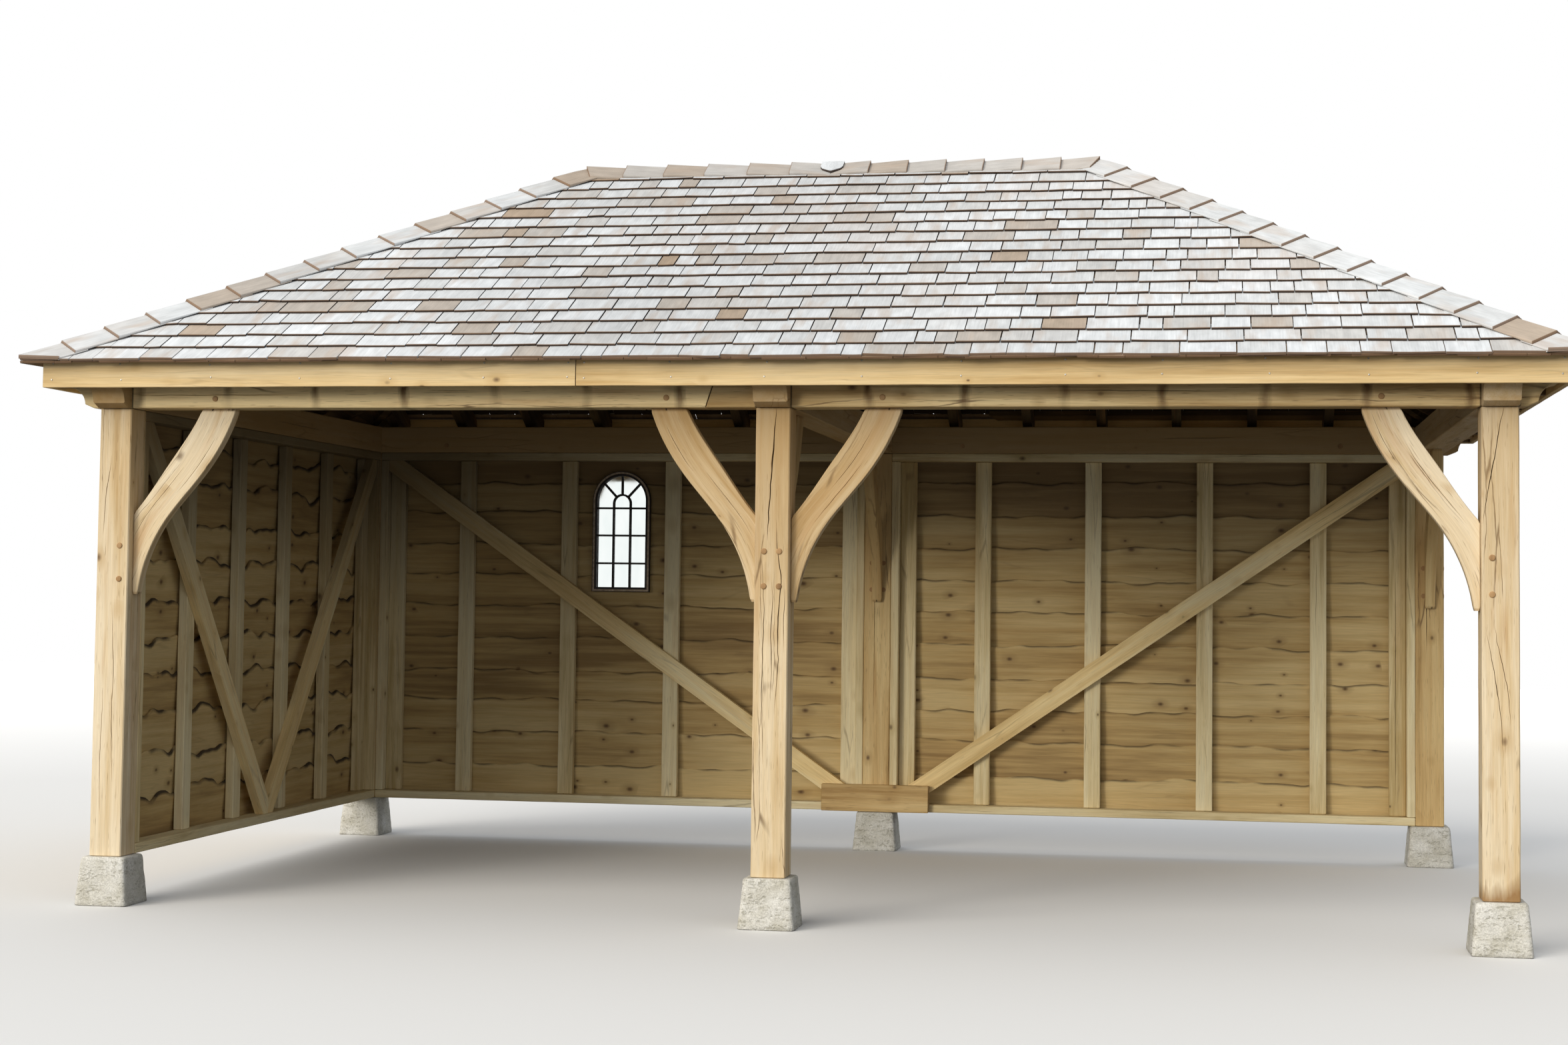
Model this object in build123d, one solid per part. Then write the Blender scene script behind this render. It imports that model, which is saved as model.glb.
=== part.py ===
"""Hipped oak gazebo of two bays, walled at the back and the left end.

Millimetres, +Z up. The origin is on the ground at the centre of the plan,
+X runs to the right along the open front and +Y runs to the back.
"""
from build123d import *
import os
from math import cos, hypot, radians, tan

# Posts, plates and padstones
post = 150.0                # square section of the posts and of every plate
length_over_posts = 6150.0  # outer face to outer face, along the front
depth_over_posts = 3470.0   # outer face to outer face, front to back
post_height = 2000.0
post_chamfer = 4.0
pad_height = 215.0
pad_top = 210.0
pad_base = 250.0

# Coved ends of the plates
plate_height = 150.0
end_reach = 75.0            # how far the foot of a plate end passes the post
cove_radius = 80.0
cove_lip = 12.0             # upright part below the cove
scarf_place = -270.0        # middle of the butt that shows on the front face
scarf_length = 300.0
scarf_lean = 50.0           # how far the butts lean over the plate's height

# Ogee braces
brace_thickness = 55.0
brace_near = 315.0          # from the post to the brace, along the plate
brace_far = 475.0
brace_neck = 469.0          # from the plate down to where the brace meets the post
brace_drop = 832.0          # from the plate down to the brace's foot
brace_foot = 25.0           # width of the foot

# Wall panels
rim_width = 45.0
rim_depth = 100.0
stud_width = 90.0
stud_depth = 45.0
stud_gauge = 610.0
studs_per_panel = 4
panel_brace_width = 100.0
panel_brace_depth = 45.0    # the flat braces lie on the studs, inside the rim
cladding_depth = 40.0
block_length = 600.0
block_height = 150.0
block_depth = 45.0

# Roof
pitch = 30.0                # degrees, front and back slopes
ridge_half = 1300.0         # half the length of the ridge
eave_out = 266.0            # from the posts' outer face to the shingles' edge
birdsmouth = 22.3           # how deep the plates' outer edge sits in the rafters
shingle_depth = 21.0
batten_depth = 22.0
batten_width = 50.0
batten_gauge = 127.0
rafter_depth = 150.0
rafter_width = 50.0
rafter_gauge = 412.0
tail_drop = 65.0            # from the plates' top down to the rafters' level cut
ridge_width = 40.0
ridge_depth = 200.0
fascia_out = 188.0          # from the posts' outer face to the fascia's outer face
fascia_depth = 25.0
fascia_height = 139.0
fascia_joint = -824.0       # the butt joint in the front fascia
cap_width = 135.0           # plan width of one leaf of the capping
cap_depth = 20.0
cap_parting = 1.0           # from the middle plane to each hip cap's head
hip_heel = 35.0             # from the plates' corner out to the hip's heel
batten_gap = 1.0            # between a batten's end and the hip's centre plane

# Arched mirror on the back wall
mirror_width = 338.0
mirror_headroom = 57.0      # from the panel's top rail down to the mirror's crown
mirror_height = 692.0
mirror_frame_width = 26.0
mirror_frame_depth = 28.0
mirror_bar = 11.0
mirror_bar_depth = 10.0
mirror_bar_setback = 1.0    # from the glass's face to the bars
mirror_glass_depth = 4.0
mirror_glass_clearance = 0.3
mirror_upright = 49.0       # from the centre line to each upright bar
mirror_hoop_height = 508.0  # from the bottom up to the springing of the inner hoop
mirror_rails = (163.0, 323.0, 480.0)  # heights of the rails above the bottom
mirror_spokes = (-43.0, 0.0, 43.0)    # degrees from upright, between hoop and frame

# Worked out from the sizes above
half_x = length_over_posts / 2
half_y = depth_over_posts / 2
inner_x = half_x - post
inner_y = half_y - post
axis_x = half_x - post / 2
axis_y = half_y - post / 2
plate_foot = pad_height + post_height
plate_top = plate_foot + plate_height
nose = end_reach + cove_radius
eave_x = half_x + eave_out
eave_y = half_y + eave_out
main_fall = tan(radians(pitch))
rise = eave_y * main_fall
end_run = eave_x - ridge_half
end_fall = rise / end_run
upright = 1 / cos(radians(pitch))
shingle_drop = shingle_depth * upright
rafter_drop = shingle_drop + batten_depth * upright
rafter_height = rafter_depth * upright
eave_height = plate_top - birdsmouth + rafter_height + rafter_drop - eave_out * main_fall
tail_height = plate_top - tail_drop
tail_out = fascia_out - fascia_depth
hip_length = hypot(end_run, eave_y)
hip_x = end_run / hip_length
hip_y = eave_y / hip_length


def box(x0, x1, y0, y1, z0, z1):
    """Return an upright block between two corners."""
    size = Box(x1 - x0, y1 - y0, z1 - z0, align=(Align.MIN, Align.MIN, Align.MIN))
    return Pos(x0, y0, z0) * size


def polygon(points):
    """Return the flat face inside a closed run of points."""
    return Face(Wire.make_polygon(points, close=True))


def column(plan, low, high):
    """Return the solid over a plan outline, between two sloping planes.

    The plan runs anticlockwise from above; low and high give z at x, y.
    """
    foot = [(x, y, low(x, y)) for x, y in plan]
    head = [(x, y, high(x, y)) for x, y in plan]
    faces = [polygon(foot[::-1]), polygon(head)]
    for i in range(len(plan)):
        j = (i + 1) % len(plan)
        faces.append(polygon([foot[i], foot[j], head[j], head[i]]))
    return Solid(Shell(faces))


def front_plane(drop=0.0):
    """Return the height of the front slope, a given drop below its shingles."""
    return lambda x, y: eave_height - drop + (eave_y + y) * main_fall


def right_plane(drop=0.0):
    """Return the height of the right slope, a given drop below its shingles."""
    return lambda x, y: eave_height - drop + (eave_x - x) * end_fall


def to_back(shape):
    """Mirror a shape from the front to the back."""
    return mirror(shape, about=Plane.XZ)


def to_left(shape):
    """Mirror a shape from the right to the left."""
    return mirror(shape, about=Plane.YZ)


def solids_of(shapes):
    """Return every solid in a list of shapes, as one compound."""
    return Compound(children=[solid for shape in shapes for solid in shape.solids()])


# Stones and posts
def padstone(x, y):
    """Return one tapered stone."""
    foot = Pos(x, y, 0) * Rectangle(pad_base, pad_base)
    head = Pos(x, y, pad_height) * Rectangle(pad_top, pad_top)
    return loft([foot, head])


def oak_post(x, y):
    """Return one post with eased arrises."""
    shaft = box(x - post / 2, x + post / 2, y - post / 2, y + post / 2, pad_height, plate_foot)
    return chamfer(shaft.edges().filter_by(Axis.Z), post_chamfer)


# Plates
def coved_beam(half, thickness):
    """Return a beam along X, centred, for posts whose outer faces are at +-half."""
    low_end = half + end_reach
    far_end = half + nose
    bend = cove_radius * cos(radians(45))
    lip = plate_foot + cove_lip
    shoulder = lip + cove_radius
    y0 = -thickness / 2
    right = [(low_end, y0, plate_foot), (low_end, y0, lip), (far_end - bend, y0, lip + bend),
             (far_end, y0, shoulder), (far_end, y0, plate_top)]
    left = [(-x, y, z) for x, y, z in right]
    edges = [
        Edge.make_line(left[0], right[0]),
        Edge.make_line(right[0], right[1]),
        Edge.make_three_point_arc(right[1], right[2], right[3]),
        Edge.make_line(right[3], right[4]),
        Edge.make_line(right[4], left[4]),
        Edge.make_line(left[4], left[3]),
        Edge.make_three_point_arc(left[3], left[2], left[1]),
        Edge.make_line(left[1], left[0]),
    ]
    return extrude(Face(Wire(edges)), amount=thickness, dir=(0, 1, 0))


def crossings(axes, half_width, z0, z1, half_other):
    """Return the blocks taken out of a beam along X where others cross it."""
    return [box(x - half_width, x + half_width, -half_other, half_other, z0, z1) for x in axes]


def long_plate(y):
    """Return a front or back plate, halved on top where the cross beams lie."""
    middle = plate_foot + plate_height / 2
    beam = coved_beam(half_x, post)
    for cut in crossings((-axis_x, 0.0, axis_x), post / 2, middle, plate_top, post):
        beam -= cut
    return Pos(0, y, 0) * beam


def cross_plate(x):
    """Return a beam along Y, halved below where it lies over the long plates."""
    middle = plate_foot + plate_height / 2
    beam = coved_beam(half_y, post)
    for cut in crossings((-axis_y, axis_y), post / 2, plate_foot, middle, post):
        beam -= cut
    return Pos(x, 0, 0) * Rot(0, 0, 90) * beam


def scarf_side():
    """Return the space on the left of the scarf, as two steps that lean."""
    half_lean = scarf_lean / 2
    far = -half_x - 2 * nose
    front = -half_y
    steps = []
    for end, y0 in ((scarf_place, front), (scarf_place - scarf_length, front + post / 2)):
        outline = [(far, y0, plate_foot), (end - half_lean, y0, plate_foot),
                   (end + half_lean, y0, plate_top), (far, y0, plate_top)]
        steps.append(extrude(polygon(outline), amount=post / 2, dir=(0, 1, 0)))
    return steps[0] + steps[1]


# Braces
def ogee_brace():
    """Return a brace in the XZ plane, with the post's face at x = 0 on its left."""
    top = plate_foot
    y0 = -brace_thickness / 2
    near = (brace_near, y0, top)
    far = (brace_far, y0, top)
    neck = (0.0, y0, top - brace_neck)
    heel = (0.0, y0, top - brace_drop)
    toe = (brace_foot, y0, top - brace_drop)
    waist = (0.66 * brace_far, y0, top - 0.36 * brace_drop)
    knee = (0.29 * brace_far, y0, top - 0.625 * brace_drop)
    middle = (0.53 * brace_near, y0, top - 0.51 * brace_neck)
    upper = Edge.make_spline([near, middle, neck], tangents=[(-0.42, 0, -1), (-0.9, 0, -1)])
    lower = Edge.make_spline([toe, knee, waist, far], tangents=[(0.12, 0, 1), (0.3, 0, 1)])
    edges = [
        upper,
        Edge.make_line(neck, heel),
        Edge.make_line(heel, toe),
        lower,
        Edge.make_line(far, near),
    ]
    return extrude(Face(Wire(edges)), amount=brace_thickness, dir=(0, 1, 0))


def brace_along_x(x_face, y, turn):
    """Return a brace from a post face at x_face, towards +X or, turned, towards -X."""
    return Pos(x_face, y, 0) * Rot(0, 0, turn) * ogee_brace()


def brace_along_y(x, y_face, turn):
    """Return a brace from a post face at y_face, along Y."""
    return Pos(x, y_face, 0) * Rot(0, 0, turn) * ogee_brace()


# Wall panels, drawn in XZ with their inner face on y = 0
def diagonal(x0, z0, x1, z1, opening):
    """Return a flat brace between two points, trimmed to the panel's opening."""
    run = hypot(x1 - x0, z1 - z0)
    ux, uz = (x1 - x0) / run, (z1 - z0) / run
    over = panel_brace_width
    side = panel_brace_width / 2
    y0 = rim_depth - stud_depth - panel_brace_depth
    corners = []
    for along, across in ((-over, -side), (run + over, -side), (run + over, side), (-over, side)):
        corners.append((x0 + ux * along - uz * across, y0, z0 + uz * along + ux * across))
    strip = extrude(polygon(corners), amount=panel_brace_depth, dir=(0, 1, 0))
    return strip & opening


def panel_opening(half):
    """Return the space inside a panel's rim, as deep as the rim."""
    low = pad_height + rim_width
    high = plate_foot - rim_width
    return box(-half + rim_width, half - rim_width, 0, rim_depth, low, high)


def panel_frame(half):
    """Return a panel's rim and studs as one frame."""
    frame = box(-half, half, 0, rim_depth, pad_height, plate_foot) - panel_opening(half)
    y0 = rim_depth - stud_depth
    low = pad_height + rim_width
    high = plate_foot - rim_width
    ends = half - rim_width - stud_width / 2
    places = [(i - (studs_per_panel - 1) / 2) * stud_gauge for i in range(studs_per_panel)]
    for x in [-ends] + places + [ends]:
        frame += box(x - stud_width / 2, x + stud_width / 2, y0, rim_depth, low, high)
    return frame


def cladding(half):
    """Return the boarded skin outside a panel's frame."""
    return box(-half, half, rim_depth, rim_depth + cladding_depth, pad_height, plate_foot)


def back_panel(x, falls_right):
    """Return frame, brace and cladding of one back bay, centred on x."""
    half = (axis_x - post) / 2
    low = pad_height + rim_width
    high = plate_foot - rim_width
    reach = half - rim_width
    if falls_right:
        brace = diagonal(-reach, high, reach, low, panel_opening(half))
    else:
        brace = diagonal(reach, high, -reach, low, panel_opening(half))
    place = Pos(x, inner_y, 0)
    return place * panel_frame(half), place * brace, place * cladding(half)


def left_panel():
    """Return frame, two braces in a V and cladding of the left end."""
    half = inner_y
    low = pad_height + rim_width
    high = plate_foot - rim_width
    reach = half - rim_width
    opening = panel_opening(half)
    first = diagonal(-reach, high, 0, low, opening)
    second = diagonal(reach, high, 0, low, opening)
    first = split(first, bisect_by=Plane.YZ, keep=Keep.BOTTOM)
    second = split(second, bisect_by=Plane.YZ, keep=Keep.TOP)
    place = Pos(-inner_x, 0, 0) * Rot(0, 0, 90)
    return place * panel_frame(half), place * first, place * second, place * cladding(half)


def foot_block():
    """Return the short timber across the foot of the back middle post."""
    return box(-block_length / 2, block_length / 2, inner_y - block_depth, inner_y,
               pad_height, pad_height + block_height)


# Roof frame
def rafter_outline(half, fall, eave, head, over_beam):
    """Return a rafter's outline as pairs of outward distance and height."""
    def top(d):
        return eave_height - rafter_drop + (eave - d) * fall

    def under(d):
        return top(d) - rafter_height

    def where_under(z):
        return eave - (z + rafter_height + rafter_drop - eave_height) / fall

    tail = half + tail_out
    seat = where_under(plate_top)
    outline = [(tail, top(tail)), (head, top(head)), (head, under(head)), (seat, plate_top)]
    if over_beam:
        return outline + [(tail, plate_top)]
    return outline + [(half, plate_top), (half, under(half)),
                      (where_under(tail_height), tail_height), (tail, tail_height)]


def hip_side(side):
    """Return the upright plane on one side of the front right hip rafter.

    side is +1 for the face towards the front slope, -1 towards the right slope.
    """
    normal = (-hip_y * side, -hip_x * side, 0)
    offset = rafter_width / 2
    origin = (ridge_half + normal[0] * offset, normal[1] * offset, 0)
    return Plane(origin=origin, z_dir=normal)


def front_rafter(x):
    """Return one rafter of the front slope, at x, cut to the ridge or the hip."""
    over_beam = abs(x) < (post + rafter_width) / 2
    outline = rafter_outline(half_y, main_fall, eave_y, ridge_width / 2, over_beam)
    x0 = abs(x) - rafter_width / 2
    points = [(x0, -d, z) for d, z in outline]
    rafter = extrude(polygon(points), amount=rafter_width, dir=(1, 0, 0))
    rafter = split(rafter, bisect_by=hip_side(1), keep=Keep.TOP)
    return rafter if x >= 0 else to_left(rafter)


def right_rafter(y):
    """Return one rafter of the right slope, at y, cut to the hips."""
    over_beam = abs(abs(y) - axis_y) < (post + rafter_width) / 2
    outline = rafter_outline(half_x, end_fall, eave_x, ridge_half, over_beam)
    y0 = -abs(y) - rafter_width / 2
    points = [(d, y0, z) for d, z in outline]
    rafter = extrude(polygon(points), amount=rafter_width, dir=(0, 1, 0))
    rafter = split(rafter, bisect_by=hip_side(-1), keep=Keep.TOP)
    if y == 0:
        rafter = to_back(split(to_back(rafter), bisect_by=hip_side(-1), keep=Keep.TOP))
    return rafter if y <= 0 else to_back(rafter)


def rafter_places(limit):
    """Return the rafters' centre lines, evenly spaced from the middle."""
    count = int(limit // rafter_gauge)
    return [i * rafter_gauge for i in range(-count, count + 1)]


def hip_rafter():
    """Return the front right hip rafter, from the ridge's end to the corner."""
    half = rafter_width / 2
    lowering = half * max(hip_x * main_fall, hip_y * end_fall)
    fall = rise / hip_length
    ridge_level = eave_height + rise - rafter_drop

    def top(s):
        return ridge_level - s * fall - lowering

    def under(s):
        return ridge_level - s * fall - rafter_height

    corner = (half_x - ridge_half) * hip_x + half_y * hip_y
    heel = corner + hip_heel
    seat = (ridge_level - rafter_height - plate_top) / fall
    level = (ridge_level - rafter_height - tail_height) / fall
    far = hip_length
    outline = [(-post, top(-post)), (-post, under(-post)), (seat, plate_top), (heel, plate_top),
               (heel, under(heel)), (level, tail_height), (far, tail_height), (far, top(far))]
    points = []
    for s, z in outline:
        points.append((ridge_half + s * hip_x + half * hip_y, -s * hip_y + half * hip_x, z))
    strip = extrude(polygon(points), amount=rafter_width, dir=(-hip_y, -hip_x, 0))
    keep = box(ridge_half, half_x + tail_out, -half_y - tail_out, -ridge_width / 2,
               0, eave_height + rise)
    return strip & keep


def ridge_board():
    """Return the ridge board, level with the backs of the rafters at its faces."""
    lowering = ridge_width / 2 * main_fall
    top = eave_height + rise - rafter_drop - lowering
    reach = ridge_half + lowering / end_fall
    return box(-reach, reach, -ridge_width / 2, ridge_width / 2, top - ridge_depth, top)


def clip(plan, keep):
    """Return the part of a plan outline where keep(x, y) is not negative."""
    kept = []
    for i in range(len(plan)):
        a, b = plan[i - 1], plan[i]
        fa, fb = keep(*a), keep(*b)
        if (fa < 0) != (fb < 0):
            t = fa / (fa - fb)
            kept.append((a[0] + (b[0] - a[0]) * t, a[1] + (b[1] - a[1]) * t))
        if fb >= 0:
            kept.append(b)
    return kept


def hip_distance(x, y, side):
    """Return the plan distance from the hip's centre plane, into a slope."""
    return -((abs(x) - ridge_half) * hip_y + y * hip_x) * side


def slope_battens(run, fall, eave, far, side):
    """Return the battens of the front slope (side 1) or the right slope (side -1)."""
    slant = hypot(1, fall)
    step = batten_gauge / slant
    width = batten_width / slant
    plane = front_plane if side == 1 else right_plane
    d = eave - (eave_out - tail_out) - width
    stop = eave - run
    found = []
    while d > stop + width:
        if side == 1:
            plan = [(-far, -d - width), (far, -d - width), (far, -d), (-far, -d)]
            plan = clip(plan, lambda x, y: (x + ridge_half) * hip_y - y * -hip_x - batten_gap)
            plan = clip(plan, lambda x, y: (ridge_half - x) * hip_y - y * hip_x - batten_gap)
        else:
            plan = [(d, -far), (d + width, -far), (d + width, far), (d, far)]
            plan = clip(plan, lambda x, y: (x - ridge_half) * hip_y + y * hip_x - batten_gap)
            plan = clip(plan, lambda x, y: (x - ridge_half) * hip_y - y * hip_x - batten_gap)
        found.append(column(plan, plane(rafter_drop), plane(shingle_drop)))
        d -= step
    return found


# Roof covering
def front_slope():
    """Return the shingled front slope."""
    plan = [(-eave_x, -eave_y), (eave_x, -eave_y), (ridge_half, 0.0), (-ridge_half, 0.0)]
    return column(plan, front_plane(shingle_drop), front_plane())


def right_slope():
    """Return the shingled right slope."""
    plan = [(eave_x, -eave_y), (eave_x, eave_y), (ridge_half, 0.0)]
    return column(plan, right_plane(shingle_drop), right_plane())


def cap_corner():
    """Return where the inner edges of the ridge and hip capping meet in plan."""
    cut = cap_width * (1 - hip_x) / hip_y
    return ridge_half - cut, -cap_width


def hip_cap():
    """Return the two leaves over the front right hip, as one solid."""
    x3, y3 = cap_corner()
    front_plan = [(ridge_half, 0.0), (x3, y3), (eave_x - cap_width / hip_y, -eave_y),
                  (eave_x, -eave_y)]
    side_plan = [(ridge_half, 0.0), (eave_x, -eave_y), (eave_x, -eave_y + cap_width / hip_x),
                 (ridge_half + cap_width / hip_y, 0.0)]
    front = column(front_plan, front_plane(), front_plane(-cap_depth))
    side = column(side_plan, right_plane(), right_plane(-cap_depth))
    keep = box(0, eave_x, -eave_y, -cap_parting, 0, eave_height + rise + post)
    return (front + side) & keep


def ridge_cap():
    """Return the two leaves over the ridge, as one solid."""
    x3, y3 = cap_corner()
    plan = [(-x3, y3), (x3, y3), (ridge_half, 0.0), (-ridge_half, 0.0)]
    leaf = column(plan, front_plane(), front_plane(-cap_depth))
    return leaf + to_back(leaf)


# Fascias
def fascias():
    """Return the fascia boards: the long ones run past the ends of the short ones."""
    outer_x, outer_y = half_x + fascia_out, half_y + fascia_out
    inner = outer_y - fascia_depth
    top = eave_height - shingle_drop + (eave_out - fascia_out) * min(main_fall, end_fall)
    low = top - fascia_height
    left = box(-outer_x, fascia_joint, -outer_y, -inner, low, top)
    right = box(fascia_joint, outer_x, -outer_y, -inner, low, top)
    end = box(outer_x - fascia_depth, outer_x, -inner, inner, low, top)
    return left, right, end


# Mirror, drawn about x = 0 with its back on y = 0
def arch(width, height, y0, depth):
    """Return a slab with a half-round head, standing on z = 0."""
    r = width / 2
    spring = height - r
    edges = [
        Edge.make_line((-r, y0, 0), (r, y0, 0)),
        Edge.make_line((r, y0, 0), (r, y0, spring)),
        Edge.make_three_point_arc((r, y0, spring), (0, y0, height), (-r, y0, spring)),
        Edge.make_line((-r, y0, spring), (-r, y0, 0)),
    ]
    return extrude(Face(Wire(edges)), amount=depth, dir=(0, 1, 0))


def mirror_pieces():
    """Return the frame with its bars, and the glass behind them."""
    edge = mirror_frame_width
    wide = mirror_width - 2 * edge
    tall = mirror_height - 2 * edge
    back = -mirror_glass_depth - mirror_bar_setback
    front = back - mirror_bar_depth
    frame = arch(mirror_width, mirror_height, -mirror_frame_depth, mirror_frame_depth)
    frame -= Pos(0, 0, edge) * arch(wide, tall, -mirror_frame_depth, mirror_frame_depth)
    half = mirror_bar / 2
    outer, inner = mirror_upright + half, mirror_upright - half
    tucked = edge / 2
    head = mirror_hoop_height - tucked
    hoop = arch(2 * outer, head + outer, front, mirror_bar_depth)
    hoop -= arch(2 * inner, head + inner, front, mirror_bar_depth)
    bars = Pos(0, 0, tucked) * hoop
    reach = wide / 2 + tucked
    for z in mirror_rails:
        bars += box(-reach, reach, front, back, z - half, z + half)
    for turn in mirror_spokes:
        spoke = box(-half, half, front, back, mirror_upright, reach)
        bars += Pos(0, 0, mirror_hoop_height) * Rot(0, turn, 0) * spoke
    gap = mirror_glass_clearance
    glass = Pos(0, 0, edge + gap) * arch(wide - 2 * gap, tall - 2 * gap,
                                         -mirror_glass_depth, mirror_glass_depth)
    bottom = plate_foot - rim_width - mirror_headroom - mirror_height
    place = Pos(-axis_x / 2, inner_y + rim_depth, bottom)
    return place * (frame + bars), place * glass


def save(shape, node):
    """Write one node's solids."""
    export_step(shape, f"parts/{node}.step")


def main():
    """Build and write every node."""
    os.makedirs("parts", exist_ok=True)
    columns = {"left": -axis_x, "middle": 0.0, "right": axis_x}
    rows = {"front": -axis_y, "back": axis_y}
    save(solids_of([padstone(x, y) for x in columns.values() for y in rows.values()]), "padstones")
    for row, y in rows.items():
        for name, x in columns.items():
            save(oak_post(x, y), f"post_{row}_{name}")

    front = long_plate(-axis_y)
    left_side = scarf_side()
    save(front & left_side, "front_plate_left")
    save(front - left_side, "front_plate_right")
    save(long_plate(axis_y), "back_plate")
    save(cross_plate(-axis_x), "side_plate_left")
    save(cross_plate(axis_x), "side_plate_right")
    save(cross_plate(0.0), "tie_beam")

    faces = ((-inner_x, 0), (-post / 2, 180), (post / 2, 0), (inner_x, 180))
    save(solids_of([brace_along_x(x, -axis_y, turn) for x, turn in faces]), "front_braces")
    save(solids_of([brace_along_y(0, -inner_y, 90), brace_along_y(0, inner_y, -90)]),
         "tie_beam_braces")
    save(solids_of([brace_along_y(axis_x, -inner_y, 90), brace_along_y(axis_x, inner_y, -90)]),
         "right_side_braces")

    for side, x in (("left", -axis_x / 2), ("right", axis_x / 2)):
        frame, brace, skin = back_panel(x, falls_right=side == "left")
        save(frame, f"back_{side}_panel_frame")
        save(brace, f"back_{side}_panel_brace")
        save(skin, f"back_{side}_cladding")
    frame, first, second, skin = left_panel()
    save(frame, "left_panel_frame")
    save(first, "left_panel_brace_front")
    save(second, "left_panel_brace_back")
    save(skin, "left_cladding")
    save(foot_block(), "foot_block")

    long_places = rafter_places(inner_x)
    front_rafters = [front_rafter(x) for x in long_places]
    end_rafters = [right_rafter(y) for y in rafter_places(half_y)]
    save(solids_of(front_rafters), "front_rafters")
    save(solids_of([to_back(r) for r in front_rafters]), "back_rafters")
    save(solids_of(end_rafters + [to_left(r) for r in end_rafters]), "end_rafters")
    hip = hip_rafter()
    hips = [hip, to_back(hip), to_left(hip), to_left(to_back(hip))]
    save(solids_of(hips), "hip_rafters")
    save(ridge_board(), "ridge_board")

    front_battens = slope_battens(eave_y, main_fall, eave_y, half_x + tail_out, 1)
    right_battens = slope_battens(end_run, end_fall, eave_x, half_y + tail_out, -1)
    battens = front_battens + [to_back(b) for b in front_battens]
    battens += right_battens + [to_left(b) for b in right_battens]
    save(solids_of(battens), "roof_battens")

    left, right, end = fascias()
    save(left, "fascia_front_left")
    save(right, "fascia_front_right")
    save(to_back(left + right), "fascia_back")
    save(solids_of([end, to_left(end)]), "fascia_ends")

    save(front_slope(), "front_roof_slope")
    save(to_back(front_slope()), "back_roof_slope")
    save(right_slope(), "right_roof_slope")
    save(to_left(right_slope()), "left_roof_slope")
    cap = hip_cap()
    save(solids_of([cap, to_back(cap), to_left(cap), to_left(to_back(cap))]), "hip_caps")
    save(ridge_cap(), "ridge_cap")

    frame, glass = mirror_pieces()
    save(frame, "mirror_frame")
    save(glass, "mirror_glass")


main()
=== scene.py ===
"""Looks for the oak gazebo: sawn oak, waney boards, cedar shingles, cast stones and a mirror.

Metres, +Z up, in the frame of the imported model. The sizes below repeat those of the part's source.
"""

import bmesh
import bpy
import math
import numpy as np
from functools import partial
from mathutils import Matrix


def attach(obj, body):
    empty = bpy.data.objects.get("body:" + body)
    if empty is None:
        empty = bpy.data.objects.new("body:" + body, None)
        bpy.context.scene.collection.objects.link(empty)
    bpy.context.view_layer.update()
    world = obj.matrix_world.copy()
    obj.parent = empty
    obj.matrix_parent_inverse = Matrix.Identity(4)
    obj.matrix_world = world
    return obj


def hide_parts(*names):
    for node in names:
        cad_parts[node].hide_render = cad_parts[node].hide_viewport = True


bl_info = {
    "name": "Oak gazebo looks",
    "version": (1, 0, 0),
    "blender": (4, 5, 0),
    "location": "View3D > Sidebar > Gazebo",
    "description": "Builds the looks of a hipped oak gazebo around its packed frame",
    "category": "Object",
}

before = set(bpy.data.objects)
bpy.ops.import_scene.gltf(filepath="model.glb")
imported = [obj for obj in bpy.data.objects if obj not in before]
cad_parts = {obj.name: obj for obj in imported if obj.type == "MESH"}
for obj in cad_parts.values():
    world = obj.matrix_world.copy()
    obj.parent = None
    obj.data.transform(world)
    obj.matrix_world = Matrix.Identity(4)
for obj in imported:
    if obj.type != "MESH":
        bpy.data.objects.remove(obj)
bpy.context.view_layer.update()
BODY = "root"

# Sizes from the part's source
POST = 0.150
HALF_X = 3.075
HALF_Y = 1.735
INNER_X = HALF_X - POST
INNER_Y = HALF_Y - POST
AXIS_X = HALF_X - POST / 2
AXIS_Y = HALF_Y - POST / 2
PAD_HEIGHT = 0.215
PAD_HALF = 0.125
PAD_TAPER = 0.020
PLATE_FOOT = 2.215
PLATE_TOP = 2.365
RIM_DEPTH = 0.100
RIM = 0.045
STUD_HALF = 0.045
STUD_FACE = 0.055
STUD_GAUGE = 0.610
PANEL_BRACE_HALF = 0.050
PANEL_BRACE_FACE = 0.010
CLADDING_DEPTH = 0.040
BRACE_HALF = 0.0275
BRACE_NEAR = 0.315
BRACE_FAR = 0.475
BRACE_NECK = 0.469
BRACE_DROP = 0.832
BRACE_TOE = 0.025
EAVE_X = 3.341
EAVE_Y = 2.001
EAVE_HEIGHT = 2.41198
RIDGE_HALF = 1.300
PITCH = math.radians(30)
MAIN_FALL = math.tan(PITCH)
RISE = EAVE_Y * MAIN_FALL
END_RUN = EAVE_X - RIDGE_HALF
END_FALL = RISE / END_RUN
CAP_WIDTH = 0.135
CAP_RISE = 0.020
CAP_PARTING = 0.001
CAP_TILT = 0.006
RIDGE_WIDTH = 0.106
RIDGE_MIDDLE = -0.026
RAFTER_GAUGE = 0.412
COVE_START = 0.075
COVE_RADIUS = 0.080
COVE_LIP = 0.012
NOSE = COVE_START + COVE_RADIUS
SCARF = -0.270
SCARF_LENGTH = 0.300
SCARF_LEAN = 0.050
SCARF_GAP = 0.004
FASCIA_X = 3.263
FASCIA_Y = 1.923
FASCIA_DEPTH = 0.025
FASCIA_LOW = 2.2929
FASCIA_TOP = 2.4319
FASCIA_JOINT = -0.824
FASCIA_GAP = 0.0008
MIRROR_X = -1.500
MIRROR_FOOT = 1.421
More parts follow.
